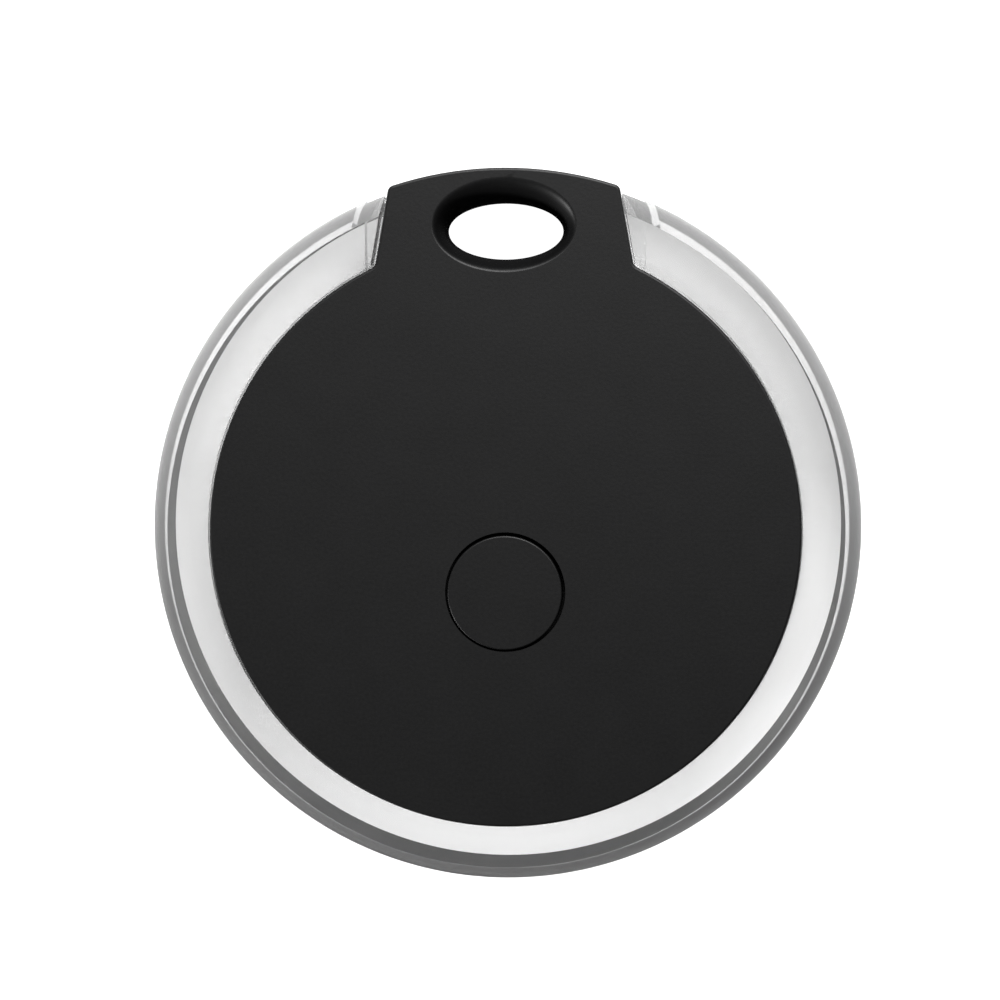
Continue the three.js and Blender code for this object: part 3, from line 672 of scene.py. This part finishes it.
print("shells are", 2 * DISC_RADIUS / MM, "mm across and", FACE_Z / MM, "thick")

# %% Front shell
SPLIT_GAP = 0.1 * MM
CAVITY_RADIUS = 13.6 * MM
FACE_WALL = 1.0 * MM
BUTTON_APERTURE = 3.19 * MM
WINDOW_ANGLES = (40, 155, 215, 325)
WINDOW_SIZE = Vector((4.0, 2.4, 0.9)) * MM
WINDOW_Z = 6.1 * MM
INTO_WALL = 7.2
COLLAR = hoop_profile(3.85, 4.5, 6.6, INTO_WALL)
BUZZER_SEAT = hoop_profile(4.1, 5.0, 6.8, INTO_WALL)
BUZZER_Y = 6.8 * MM
HOOP_STEPS = 64

face_shell = half_body("face_shell", SPLIT_Z + SPLIT_GAP / 2, FACE_Z + PAST, black_plastic)
carve(face_shell, round_post(CAVITY_RADIUS, 0, FACE_Z - FACE_WALL, 0, 0, black_plastic))
carve(face_shell, round_post(BUTTON_APERTURE, SPLIT_Z, FACE_Z + PAST, 0, BUTTON_Y, black_plastic))
for degrees in WINDOW_ANGLES:
    turn = math.radians(degrees)
    out = Vector((math.cos(turn), math.sin(turn), 0)) * (CAVITY_RADIUS + PAST)
    carve(face_shell, block(WINDOW_SIZE, out + Vector((0, 0, WINDOW_Z)), turn, black_plastic))
for profile, middle in ((COLLAR, BUTTON_Y), (BUZZER_SEAT, BUZZER_Y)):
    hoop = turned_piece("cutter", profile, black_plastic, centre=(0, middle), steps=HOOP_STEPS)
    carve(face_shell, hoop, "UNION")
shade(face_shell)
place_piece(face_shell, "root", "shell_black", "front_shell")

# %% [markdown]
# ## Rear shell
#
# The rear shell is the other half of the slab. Its middle is open for the battery door: a
# recess for the door's flange, a ledge that the door's lugs hook behind, and three slots that
# let the lugs in. Three bosses take the board's screws, and three ribs centre the coin cell.

# %% Rear shell
DOOR_RECESS = 11.9 * MM
LEDGE_RADIUS = 11.0 * MM
LEDGE_LOW = 0.9 * MM
BACK_WALL = 1.4 * MM
LUG_ANGLES = (90, 210, 330)
DOOR_TURN = 30
LUG_SLOT = (10, 11.9, 0.5, 2.0)
LUG_SLOT_SPAN = 23
SCREW_ANGLES = (15, 135, 255)
SCREW_CIRCLE = 12.2
BOSS_RADIUS = 1.05 * MM
BOSS_LOW, BOSS_HIGH = 1.2 * MM, 5.03 * MM
PILOT_RADIUS = 0.65 * MM
PILOT_LOW, PILOT_HIGH = 2.2 * MM, 6.0 * MM
BOSS_STEPS = 32
RIB_ANGLES = (105, 225, 345)
RIB_CIRCLE = 12.0
RIB_SIZE = Vector((3.6, 0.8, 1.65)) * MM
RIB_MIDDLE = 3.025 * MM

back_shell = half_body("back_shell", -PAST, SPLIT_Z - SPLIT_GAP / 2, black_plastic)
carve(back_shell, round_post(CAVITY_RADIUS, BACK_WALL, FACE_Z, 0, 0, black_plastic))
carve(back_shell, round_post(LEDGE_RADIUS, -PAST, FACE_Z, 0, 0, black_plastic))
for degrees in LUG_ANGLES:
    carve(back_shell, sector(*LUG_SLOT, degrees - DOOR_TURN, LUG_SLOT_SPAN, black_plastic))
for degrees in SCREW_ANGLES:
    x, y = polar(SCREW_CIRCLE, degrees)
    boss = round_post(BOSS_RADIUS, BOSS_LOW, BOSS_HIGH, x, y, black_plastic, BOSS_STEPS)
    carve(back_shell, boss, "UNION")
    pilot = round_post(PILOT_RADIUS, PILOT_LOW, PILOT_HIGH, x, y, black_plastic, BOSS_STEPS)
    carve(back_shell, pilot)
for degrees in RIB_ANGLES:
    x, y = polar(RIB_CIRCLE, degrees)
    rib = block(RIB_SIZE, Vector((x, y, RIB_MIDDLE)), math.radians(degrees), black_plastic)
    carve(back_shell, rib, "UNION")
carve(back_shell, round_post(DOOR_RECESS, -PAST, LEDGE_LOW, 0, 0, black_plastic))
print("door recess is", 2 * DOOR_RECESS / MM, "mm across, with", len(LUG_ANGLES), "slots")

# %% [markdown]
# ## Marks on the back
#
# A shallow round dot beside the door shows where it is locked, and a ring shows where it comes
# free. The door carries one more dot that points at them. Marks like these are part of the mould.

# %% Marks on the back
LOCKED, FREE = 270, 240
MARK_CIRCLE = 13.55
MARK_PAST = -0.5
MARK_DEPTH = 0.16
MARK_STEPS = 40
DOT_RADIUS = 0.42
DOT_FLOOR = 0.3
DOT_CHAMFER = 0.06


def dot_profile(depth):
    """The section of a cutter for a round dot, with a chamfer round its floor."""
    return [
        (0, MARK_PAST), (DOT_RADIUS, MARK_PAST), (DOT_RADIUS, depth - DOT_CHAMFER),
        (DOT_FLOOR, depth), (0, depth),
    ]


LOOP = hoop_profile(0.26, 0.48, MARK_PAST, MARK_DEPTH)
for profile, degrees in ((dot_profile(MARK_DEPTH), LOCKED), (LOOP, FREE)):
    spot = polar(MARK_CIRCLE, degrees)
    carve(back_shell, turned_piece("cutter", profile, black_plastic, centre=spot, steps=MARK_STEPS))
shade(back_shell)
place_piece(back_shell, "root", "shell_black", "rear_shell")

# %% [markdown]
# ## Battery door
#
# A coin turns the door by its slot. The face between the slot and the rim is moulded with fine
# rings that give a thumb some grip, the rim is chamfered, and the wall behind carries the
# three lugs. The rings are steps in the profile, so one spin makes them all.

# %% Door finish
def make_rings():
    """Fine concentric lines: Line is 0..1 and repeats once per Spacing, in metres."""
    group, given, made = new_group("fine_rings", {"Spacing": 0.2 * MM}, ["Line"])
    flat = group.nodes.new("ShaderNodeVectorMath")
    flat.operation = "MULTIPLY"
    flat.inputs[1].default_value = (1, 1, 0)
    group.links.new(given.outputs["Place"], flat.inputs[0])
    reach = group.nodes.new("ShaderNodeVectorMath")
    reach.operation = "LENGTH"
    group.links.new(flat.outputs["Vector"], reach.inputs[0])
    turns = calculate(group, "DIVIDE", reach.outputs["Value"], given.outputs["Spacing"])
    line = calculate(group, "PINGPONG", turns, 0.5)
    group.links.new(calculate(group, "MULTIPLY", line, 2.0), made.inputs["Line"])
    return group


RINGS = make_rings()


def add_rings(material, spacing, strength, depth):
    """Adds turned lines to a finish, on top of the grain's bump."""
    tree = material.node_tree
    shader = tree.nodes["Principled BSDF"]
    rings = tree.nodes.new("ShaderNodeGroup")
    rings.node_tree = RINGS
    rings.inputs["Spacing"].default_value = spacing * MM
    where = tree.nodes.new("ShaderNodeTexCoord")
    tree.links.new(where.outputs["Object"], rings.inputs["Place"])
    grain = shader.inputs["Normal"].links[0].from_node
    lift = bump(tree, rings.outputs["Line"], shader, strength, depth * MM)
    tree.links.new(grain.outputs["Normal"], lift.inputs["Normal"])
    return material


door_plastic = grained(
    "door_plastic", (0.0015, 0.0015, 0.0017), (0.004, 0.004, 0.0043), (0.38, 0.5), shine=0.8
)
add_rings(door_plastic, spacing=0.22, strength=0.12, depth=0.01)
print(door_plastic.name, "has lines", RINGS.name)

# %% Battery door
GRIP_START, GRIP_PITCH, GRIP_COUNT = 5.3, 0.52, 9
GRIP_SLOPE, GRIP_FLAT = 0.08, 0.16
DOOR_FACE, GRIP_FLOOR = 0.1, 0.17
DOOR_EDGE = [
    (11.55, DOOR_FACE), (11.72, 0.16), (11.8, 0.3), (11.8, 0.45), (10.85, 0.45),
    (10.85, 1.95), (10.3, 1.95), (10.3, 1.35), (0, 1.35),
]
LUG = (10.5, 11.7, 1.45, 1.95)
LUG_SPAN = 20
LUG_EDGE = 0.08

door_face = [(0, DOOR_FACE)]
for i in range(GRIP_COUNT):
    start = GRIP_START + i * GRIP_PITCH
    door_face += [
        (start, DOOR_FACE), (start + GRIP_SLOPE, GRIP_FLOOR),
        (start + GRIP_SLOPE + GRIP_FLAT, GRIP_FLOOR), (start + 2 * GRIP_SLOPE + GRIP_FLAT, DOOR_FACE),
    ]
coin_door = turned_piece("coin_door", door_face + DOOR_EDGE, door_plastic)
for degrees in LUG_ANGLES:
    carve(coin_door, sector(*LUG, degrees, LUG_SPAN, door_plastic, LUG_EDGE), "UNION")
print("door has", GRIP_COUNT, "grip rings and", len(LUG_ANGLES), "lugs")

# %% The coin's slot and the door's dot
COIN_SLOT = Vector((7.3, 1.7, 1.1)) * MM
COIN_SLOT_STEPS = 48
DOOR_DOT_CIRCLE = 10.75
DOOR_DOT_DEPTH = 0.26

slot_middle = Vector((0, 0, DOOR_FACE * MM))
slot_low, slot_high = slot_middle.z - COIN_SLOT.z / 2, slot_middle.z + COIN_SLOT.z / 2
carve(coin_door, block(COIN_SLOT, slot_middle, 0, door_plastic))
for side in (-1, 1):
    carve(coin_door, round_post(
        COIN_SLOT.y / 2, slot_low, slot_high, side * COIN_SLOT.x / 2, 0, door_plastic, COIN_SLOT_STEPS))
spot = polar(DOOR_DOT_CIRCLE, LOCKED)
dot = turned_piece(
    "cutter", dot_profile(DOOR_DOT_DEPTH), door_plastic, centre=spot, steps=MARK_STEPS)
carve(coin_door, dot)
shade(coin_door)
place_piece(coin_door, "door", "door_black", "battery_door")

# %% [markdown]
# ## Door seal
#
# A flat band of silicone lies in the step between the flange and the ledge. Its edges are round,
# and a shallow valley runs round each flat side, which makes it easier to squeeze.

# %% Door seal
silicone = grained(
    "grey_silicone", (0.09, 0.1, 0.11), (0.13, 0.14, 0.15), (0.55, 0.75), fine=5000.0, lift=0.1
)
SEAL_LOW, SEAL_HIGH = 0.47, 0.88
SEAL_VALLEY = 0.05
SEAL_EDGE = 0.05

seal_band = shade(turned_piece("seal_band", [
    (10.93, SEAL_LOW), (11.15, SEAL_LOW), (11.29, SEAL_LOW + SEAL_VALLEY), (11.43, SEAL_LOW),
    (11.65, SEAL_LOW), (11.65, SEAL_HIGH), (11.43, SEAL_HIGH), (11.29, SEAL_HIGH - SEAL_VALLEY),
    (11.15, SEAL_HIGH), (10.93, SEAL_HIGH),
], silicone, SEAL_EDGE))
place_piece(seal_band, "root", "seal_silicone", "door_seal")

# %% [markdown]
# ## Push button
#
# The button is a turned cap, flush with the face, with a thin dark gap round it. A very small
# round on its edge catches the light as a fine arc.

# %% Push button
BUTTON_RADIUS = 3.04 * MM
FLANGE_HIGH = 6.92 * MM
BUTTON_EDGE = 0.08 * MM
BUTTON_EDGE_STEPS = 5
BUTTON_SHIFT = Vector((-0.03, -0.04)) * MM

bm = bmesh.new()
flange = button_high.x
profile_wire(bm, [
    (0, button_low.z), (flange, button_low.z), (flange, FLANGE_HIGH),
    (BUTTON_RADIUS, FLANGE_HIGH), (BUTTON_RADIUS, FACE_Z), (0, FACE_Z),
])
spin_full(bm)
soften(bm, BUTTON_EDGE, BUTTON_EDGE_STEPS)
bmesh.ops.translate(bm, verts=bm.verts[:], vec=(BUTTON_SHIFT.x, BUTTON_Y + BUTTON_SHIFT.y, 0))
push_button = shade(mesh_object("push_button", bm, black_plastic))
place_piece(push_button, "button", "button_black", "button_cap")

# %% [markdown]
# ## Clear ring
#
# The ring is a polished light guide. Its rim bulges, so it bends what is behind it into a
# bright flat band with a darker edge. Glass-like shaders stop lamps, so the material lets
# shadow rays straight through: without that the paper under the ring would go dark. The rim
# has more haze than the flat faces. Its haze, like the paper's glow, was set by trial.

# %% Clear plastic
RING_IOR = 1.49
SHADOW_TONE = 0.92


def clear_finish(name, tint, rough, clarity):
    """Clear plastic that doesn't stop the light of the lamps, with a little haze in it."""
    material, tree, shader = new_material(name)
    shader.inputs["Base Color"].default_value = (*tint, 1)
    shader.inputs["Transmission Weight"].default_value = clarity
    shader.inputs["IOR"].default_value = RING_IOR
    grain = place_grain(tree, fine_scale=2200.0, patch_scale=180.0)
    dullness = map_range(tree, grain.outputs["Patch"], 0, 1, *rough)
    tree.links.new(dullness, shader.inputs["Roughness"])
    bump(tree, grain.outputs["Patch"], shader, strength=0.06, depth=0.02 * MM)
    out = next(n for n in tree.nodes if n.type == "OUTPUT_MATERIAL")
    pass_light = tree.nodes.new("ShaderNodeBsdfTransparent")
    pass_light.inputs["Color"].default_value = (SHADOW_TONE, SHADOW_TONE, SHADOW_TONE, 1)
    ray = tree.nodes.new("ShaderNodeLightPath")
    either = tree.nodes.new("ShaderNodeMixShader")
    tree.links.new(ray.outputs["Is Shadow Ray"], either.inputs["Fac"])
    tree.links.new(shader.outputs["BSDF"], either.inputs[1])
    tree.links.new(pass_light.outputs["BSDF"], either.inputs[2])
    tree.links.new(either.outputs["Shader"], out.inputs["Surface"])
    return material


clear_plastic = clear_finish(
    "clear_plastic", tint=(0.985, 0.985, 0.985), rough=(0.0, 0.03), clarity=0.97)
clear_rim = clear_finish("clear_rim", tint=(0.962, 0.962, 0.962), rough=(0.03, 0.12), clarity=0.88)
print("clear finishes", clear_plastic.name, clear_rim.name)

# %% Clear ring
RING_EDGE_RADIUS = 18.05 * MM
RING_BACK_EDGE_RADIUS = 18.2 * MM
RING_INNER_RADIUS = 15.8 * MM
RING_TAB_GAP = 0.2 * MM
TONGUE_INNER = 14.45 * MM
TONGUE_LOW, TONGUE_HIGH = 3.1 * MM, 4.9 * MM
TONGUE_HALF_GAP = 7.5 * MM
TAB_ROOM_SHIFT = -0.09 * MM
RIM_STEPS = 24
RIM_POWER = 1.7
RING_STEPS = 240
SLIVER = 0.02 * MM
FLAT_FROM = 0.95
RING_SHARP_FROM = 20


def rim_curve(levels):
    """Points of the bulging rim from the back edge to the front edge."""
    middle, half = (ring_low.z + ring_high.z) / 2, (ring_high.z - ring_low.z) / 2
    curve = []
    for i in range(levels + 1):
        level = 2 * i / levels - 1
        edge = RING_BACK_EDGE_RADIUS if level < 0 else RING_EDGE_RADIUS
        bulge = (RING_RADIUS - edge) * abs(level) ** RIM_POWER
        curve.append((RING_RADIUS - bulge, middle + half * level))
    return curve


bm = bmesh.new()
chain = profile_wire(bm, [
    (RING_INNER_RADIUS, TONGUE_HIGH), (TONGUE_INNER, TONGUE_HIGH), (TONGUE_INNER, TONGUE_LOW),
    (RING_INNER_RADIUS, TONGUE_LOW), (RING_INNER_RADIUS, ring_low.z), *rim_curve(RIM_STEPS),
    (RING_INNER_RADIUS, ring_high.z),
])
bm.edges.new((chain[-1], chain[0]))
spin_full(bm, steps=RING_STEPS)
light_ring = mesh_object("light_ring", bm, clear_plastic)
for low, high in ((TONGUE_HIGH, FACE_Z + PAST), (-PAST, TONGUE_LOW)):
    room = outline_slab(
        "cutter", RING_INNER_RADIUS - SLIVER, RING_TAB_GAP, RING_RADIUS + 2 * PAST,
        low, high, clear_plastic,
    )
    room.data.transform(Matrix.Translation((TAB_ROOM_SHIFT, 0, 0)))
    carve(light_ring, room)
tab_room = Vector((2 * TONGUE_HALF_GAP, CROWN_RADIUS + PAST, TONGUE_HIGH - TONGUE_LOW + SLIVER))
tab_middle = Vector((0, (CROWN_RADIUS + PAST) / 2, (TONGUE_HIGH + TONGUE_LOW) / 2))
carve(light_ring, block(tab_room, tab_middle, 0, clear_plastic))
light_ring.data.materials.append(clear_rim)
for face in light_ring.data.polygons:
    outside = face.center.xy.length > RING_EDGE_RADIUS and abs(face.normal.z) < FLAT_FROM
    face.material_index = int(outside)
shade(light_ring, RING_SHARP_FROM)
place_piece(light_ring, "root", "ring_clear", "clear_ring")

# %% [markdown]
# ## Coin cell
#
# The cell is drawn steel: a can whose mouth is rolled over a dark gasket, and a cap with a
# domed step that sits in it. Both show the fine circles of the polishing wheel. The pressed
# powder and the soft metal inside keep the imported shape, and only get their finishes.

# %% Metal and dark finishes
def metal(name, dark, light, rough, fine=3000.0, lift=0.12):
    """A plated or rolled metal: nearly even colour, with patches of duller surface."""
    return grained(
        name, dark, light, rough, metal=1.0, fine=fine, patch=320.0, lift=lift, depth=0.01)


nickel = metal("nickel_plate", (0.66, 0.66, 0.66), (0.78, 0.79, 0.8), (0.2, 0.34))
add_rings(nickel, spacing=0.09, strength=0.1, depth=0.004)
spring_plate = metal("spring_plate", (0.7, 0.67, 0.6), (0.82, 0.8, 0.74), (0.22, 0.36))
tin = metal("tinned_metal", (0.62, 0.62, 0.63), (0.76, 0.76, 0.77), (0.26, 0.42))
zinc = metal("zinc_plate", (0.52, 0.53, 0.54), (0.66, 0.67, 0.68), (0.28, 0.45))
brass = metal("rolled_brass", (0.68, 0.5, 0.2), (0.82, 0.64, 0.3), (0.22, 0.38))
soft_metal = metal("soft_grey_metal", (0.5, 0.51, 0.53), (0.66, 0.67, 0.69), (0.4, 0.6))
powder = grained(
    "pressed_powder", (0.025, 0.025, 0.028), (0.07, 0.07, 0.075), (0.75, 0.95), fine=4000.0,
    lift=0.5, depth=0.04)
gasket_plastic = grained(
    "gasket_plastic", (0.05, 0.05, 0.055), (0.09, 0.09, 0.095), (0.4, 0.55))
print("metals", [m.name for m in (nickel, spring_plate, tin, zinc, brass, soft_metal)])

# %% Coin cell
CELL_LOW, CELL_HIGH = 1.5, 4.7
CELL_SHEET = 0.25
CELL_EDGE = 0.04
GASKET_EDGE = 0.05

battery_can = shade(turned_piece("battery_can", [
    (0, CELL_LOW), (9.86, CELL_LOW), (10, CELL_LOW + 0.16), (10, 4.1), (9.9, 4.32), (9.7, 4.4),
    (9.45, 4.4), (9.62, 4.2), (9.75, 4.05), (9.75, CELL_LOW + CELL_SHEET), (0, CELL_LOW + CELL_SHEET),
], nickel, CELL_EDGE))
place_piece(battery_can, "root", "cell_steel", "cell_can")
battery_cap = shade(turned_piece("battery_cap", [
    (0, CELL_HIGH), (8.2, CELL_HIGH), (8.72, 4.63), (8.9, 4.42), (8.9, 2.9), (8.65, 2.9),
    (8.65, CELL_HIGH - CELL_SHEET), (0, CELL_HIGH - CELL_SHEET),
], nickel, CELL_EDGE))
place_piece(battery_cap, "root", "cell_steel", "cell_cap")
battery_gasket = shade(turned_piece("battery_gasket", [
    (9.18, 1.79), (9.73, 1.79), (9.73, 3.98), (9.4, 4.35), (9.18, 4.35),
], gasket_plastic, GASKET_EDGE))
place_piece(battery_gasket, "root", "cell_plastic", "cell_gasket")

# %% [markdown]
# ## Circuit board
#
# The board is a green disc with three screw holes. Under the green lacquer run copper lines,
# which show as slightly lighter strips: the joints of a brick pattern run at right angles, and
# larger cells with no lines in their middles break it up, so that no region looks repeated.

# %% Board lacquer
LINE_SCALE, REGION_SCALE = 900.0, 420.0
LINE_WIDTH = 0.06
BARE_MIDDLE = 0.25
LACQUER_ROUGH = (0.22, 0.36)


def board_lacquer():
    """Green lacquer over copper lines, with a glossy surface that rises over each line."""
    material, tree, shader = new_material("board_lacquer")
    where = tree.nodes.new("ShaderNodeTexCoord")
    lines = tree.nodes.new("ShaderNodeTexBrick")
    regions = tree.nodes.new("ShaderNodeTexVoronoi")
    for node, scale in ((lines, LINE_SCALE), (regions, REGION_SCALE)):
        node.inputs["Scale"].default_value = scale
        tree.links.new(where.outputs["Object"], node.inputs["Vector"])
    lines.inputs["Mortar Size"].default_value = LINE_WIDTH
    lines.inputs["Color1"].default_value = (0, 0, 0, 1)
    lines.inputs["Color2"].default_value = (0, 0, 0, 1)
    lines.inputs["Mortar"].default_value = (1, 1, 1, 1)
    shown = calculate(tree, "GREATER_THAN", regions.outputs["Distance"], BARE_MIDDLE)
    copper = calculate(tree, "MULTIPLY", lines.outputs["Fac"], shown)
    colour = blend_colours(tree, copper, (0.008, 0.075, 0.035), (0.03, 0.17, 0.08))
    tree.links.new(colour, shader.inputs["Base Color"])
    grain = place_grain(tree, fine_scale=2500.0, patch_scale=300.0)
    dullness = map_range(tree, grain.outputs["Patch"], 0, 1, *LACQUER_ROUGH)
    tree.links.new(dullness, shader.inputs["Roughness"])
    bump(tree, copper, shader, strength=0.4, depth=0.02 * MM)
    return material


lacquer = board_lacquer()
print(lacquer.name, len(lacquer.node_tree.nodes), "nodes")

# %% Finishes of the parts on the board
resin = grained(
    "chip_resin", (0.013, 0.013, 0.014), (0.03, 0.03, 0.032), (0.45, 0.65), fine=6000.0, lift=0.3)
ceramic = grained(
    "fired_ceramic", (0.6, 0.53, 0.42), (0.76, 0.7, 0.58), (0.5, 0.7), fine=5000.0, lift=0.2)
light_resin = grained(
    "light_resin", (0.8, 0.8, 0.72), (0.9, 0.9, 0.84), (0.15, 0.3), fine=2000.0, lift=0.05)
switch_plastic = grained(
    "switch_plastic", (0.02, 0.02, 0.022), (0.04, 0.04, 0.042), (0.4, 0.6), fine=4000.0)
foam = grained(
    "foam_tape", (0.7, 0.7, 0.67), (0.84, 0.84, 0.81), (0.85, 1.0), fine=2500.0, lift=0.7, depth=0.05)
silvered = grained(
    "silvered_ceramic", (0.6, 0.59, 0.56), (0.74, 0.73, 0.7), (0.35, 0.5), metal=0.6, fine=3500.0)
print("finishes so far", len(bpy.data.materials))

# %% Board
BOARD_LOW, BOARD_HIGH = 5.05, 5.65
BOARD_RADIUS = 13.3
BOARD_EDGE = 0.05
SCREW_HOLE = 0.72 * MM
SCREW_STEPS = 40

main_board = turned_piece(
    "main_board", hoop_profile(0, BOARD_RADIUS, BOARD_LOW, BOARD_HIGH), lacquer, BOARD_EDGE, 2)
for degrees in SCREW_ANGLES:
    x, y = polar(SCREW_CIRCLE, degrees)
    low, high = BOARD_LOW * MM - PAST, BOARD_HIGH * MM + PAST
    carve(main_board, round_post(SCREW_HOLE, low, high, x, y, lacquer, SCREW_STEPS))
shade(main_board)
place_piece(main_board, "root", "board_green", "circuit_board")

# %% Screws
SCREW = [
    (0, 2.6), (0.35, 2.62), (0.58, 2.95), (0.58, 5.67), (1.1, 5.67), (1.1, 5.9), (1.0, 6.08),
    (0.8, 6.19), (0.4, 6.22), (0, 6.22),
]
SCREW_EDGE = 0.03
ARM = Vector((1.3, 0.3, 0.6)) * MM
ARM_Z = 6.27 * MM

for number, degrees in enumerate(SCREW_ANGLES, 1):
    x, y = polar(SCREW_CIRCLE, degrees)
    screw = turned_piece(f"screw_{number}", SCREW, zinc, SCREW_EDGE, 2, (x, y), SCREW_STEPS)
    for turn in (0, math.pi / 2):
        carve(screw, block(ARM, Vector((x, y, ARM_Z)), turn, zinc))
    shade(screw)
    place_piece(screw, "root", "screw_steel", f"board_screw_{number}")

# %% [markdown]
# ## Parts on the board
#
# Each part is a small block with the one detail that tells it apart: the chip's dimple beside
# its first leg, the sunk lid of the crystal's can, the tinned ends of the capacitors and the
# antenna, and the pale resin of the lights. A bevel rounds the block, and the chip and the
# crystal are then cut.

# %% Rounded blocks
BLOCK_LIFT = 0.02
END_FROM = 0.3


def soft_block(name, size, place, turn, finish, edge, ends=None):
    """A rounded block on the board, in millimetres and degrees, with tinned ends if given."""
    bm = bmesh.new()
    bmesh.ops.create_cube(bm, size=1.0)
    bmesh.ops.scale(bm, verts=bm.verts[:], vec=Vector(size) * MM)
    soften(bm, edge * MM, 2)
    if ends:
        for side in (-1, 1):
            bmesh.ops.bisect_plane(
                bm, geom=bm.verts[:] + bm.edges[:] + bm.faces[:],
                plane_co=(side * size[0] * MM * END_FROM, 0, 0), plane_no=(side, 0, 0),
            )
        for face in bm.faces:
            face.material_index = int(abs(face.calc_center_median().x) > size[0] * MM * END_FROM)
    high = BOARD_HIGH + BLOCK_LIFT + size[2] / 2
    spot = Matrix.Translation(Vector((*place, high)) * MM)
    bmesh.ops.transform(
        bm, matrix=spot @ Matrix.Rotation(math.radians(turn), 4, "Z"), verts=bm.verts[:])
    piece = mesh_object(name, bm, finish)
    if ends:
        piece.data.materials.append(ends)
    return piece


print("blocks stand", BLOCK_LIFT, "mm above the board")

# %% Chip, crystal and antenna
CHIP_SIZE, CHIP_PLACE = (5, 5, 0.8), (-6.9, -3.4)
FIRST_LEG = Vector((-8.7, -1.6)) * MM
DIMPLE_RADIUS = 0.28 * MM
DIMPLE_LOW, DIMPLE_HIGH = 6.4 * MM, 7 * MM
DIMPLE_STEPS = 32
CRYSTAL_SIZE, CRYSTAL_PLACE = (3.2, 2.5, 0.7), (-5, -8.3)
LID_SIZE = Vector((2.7, 2.0, 0.1)) * MM
LID_MIDDLE = Vector((*CRYSTAL_PLACE, 6.37)) * MM
ANTENNA_SIZE, ANTENNA_PLACE, ANTENNA_TURN = (5.2, 2, 0.9), (7.6, -5.6), 50

radio_chip = soft_block("radio_chip", CHIP_SIZE, CHIP_PLACE, 0, resin, edge=0.06)
dimple = round_post(DIMPLE_RADIUS, DIMPLE_LOW, DIMPLE_HIGH, *FIRST_LEG, resin, DIMPLE_STEPS)
carve(radio_chip, dimple)
place_piece(shade(radio_chip), "root", "chip_resin", "bluetooth_chip")

clock_can = soft_block("clock_can", CRYSTAL_SIZE, CRYSTAL_PLACE, 0, tin, edge=0.08)
carve(clock_can, block(LID_SIZE, LID_MIDDLE, 0, tin))
place_piece(shade(clock_can), "root", "can_metal", "crystal")

aerial = soft_block(
    "aerial", ANTENNA_SIZE, ANTENNA_PLACE, ANTENNA_TURN, ceramic, edge=0.06, ends=tin)
place_piece(shade(aerial), "root", "chip_ceramic", "chip_antenna")

# %% Capacitors and lights
CAPACITOR_SIZE = (1, 0.6, 0.5)
CAPACITOR_TURN = 90
CAPACITOR_PLACES = ((-6.9, 0.4), (-8.9, 0.4), (0.5, -9.6), (2.3, -9.6))
LIGHT_SIZE = (0.8, 1.6, 0.55)
LIGHT_CIRCLE = 12.3

for number, place in enumerate(CAPACITOR_PLACES, 1):
    small = soft_block(
        f"store_{number}", CAPACITOR_SIZE, place, CAPACITOR_TURN, ceramic, edge=0.05, ends=tin)
    place_piece(shade(small), "root", "chip_ceramic", f"capacitor_{number}")

for number, degrees in enumerate(WINDOW_ANGLES, 1):
    place = Vector(polar(LIGHT_CIRCLE, degrees)) / MM
    lamp = soft_block(f"side_light_{number}", LIGHT_SIZE, place, degrees, light_resin, edge=0.07)
    place_piece(shade(lamp), "root", "light_resin", f"status_light_{number}")

# %% [markdown]
# ## Springs, switch and buzzer
#
# The bent springs, the key switch and the buzzer's thin discs already have their shapes in the
# imported model. They keep that shape, and each takes the finish of what it is made from.

# %% Finishes of the imported pieces
PACKED_FINISHES = {
    "cell_cathode": powder, "cell_anode": soft_metal, "negative_contact": spring_plate,
    "positive_contact": spring_plate, "switch_base": switch_plastic, "switch_cover": tin,
    "switch_dome": spring_plate, "switch_plunger": switch_plastic, "buzzer_plate": brass,
    "buzzer_ceramic": silvered, "buzzer_tape": foam, "buzzer_contact_1": spring_plate,
    "buzzer_contact_2": spring_plate,
}
for node, finish in PACKED_FINISHES.items():
    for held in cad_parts[node].material_slots:
        held.material = finish
print(len(PACKED_FINISHES), "packed pieces finished")
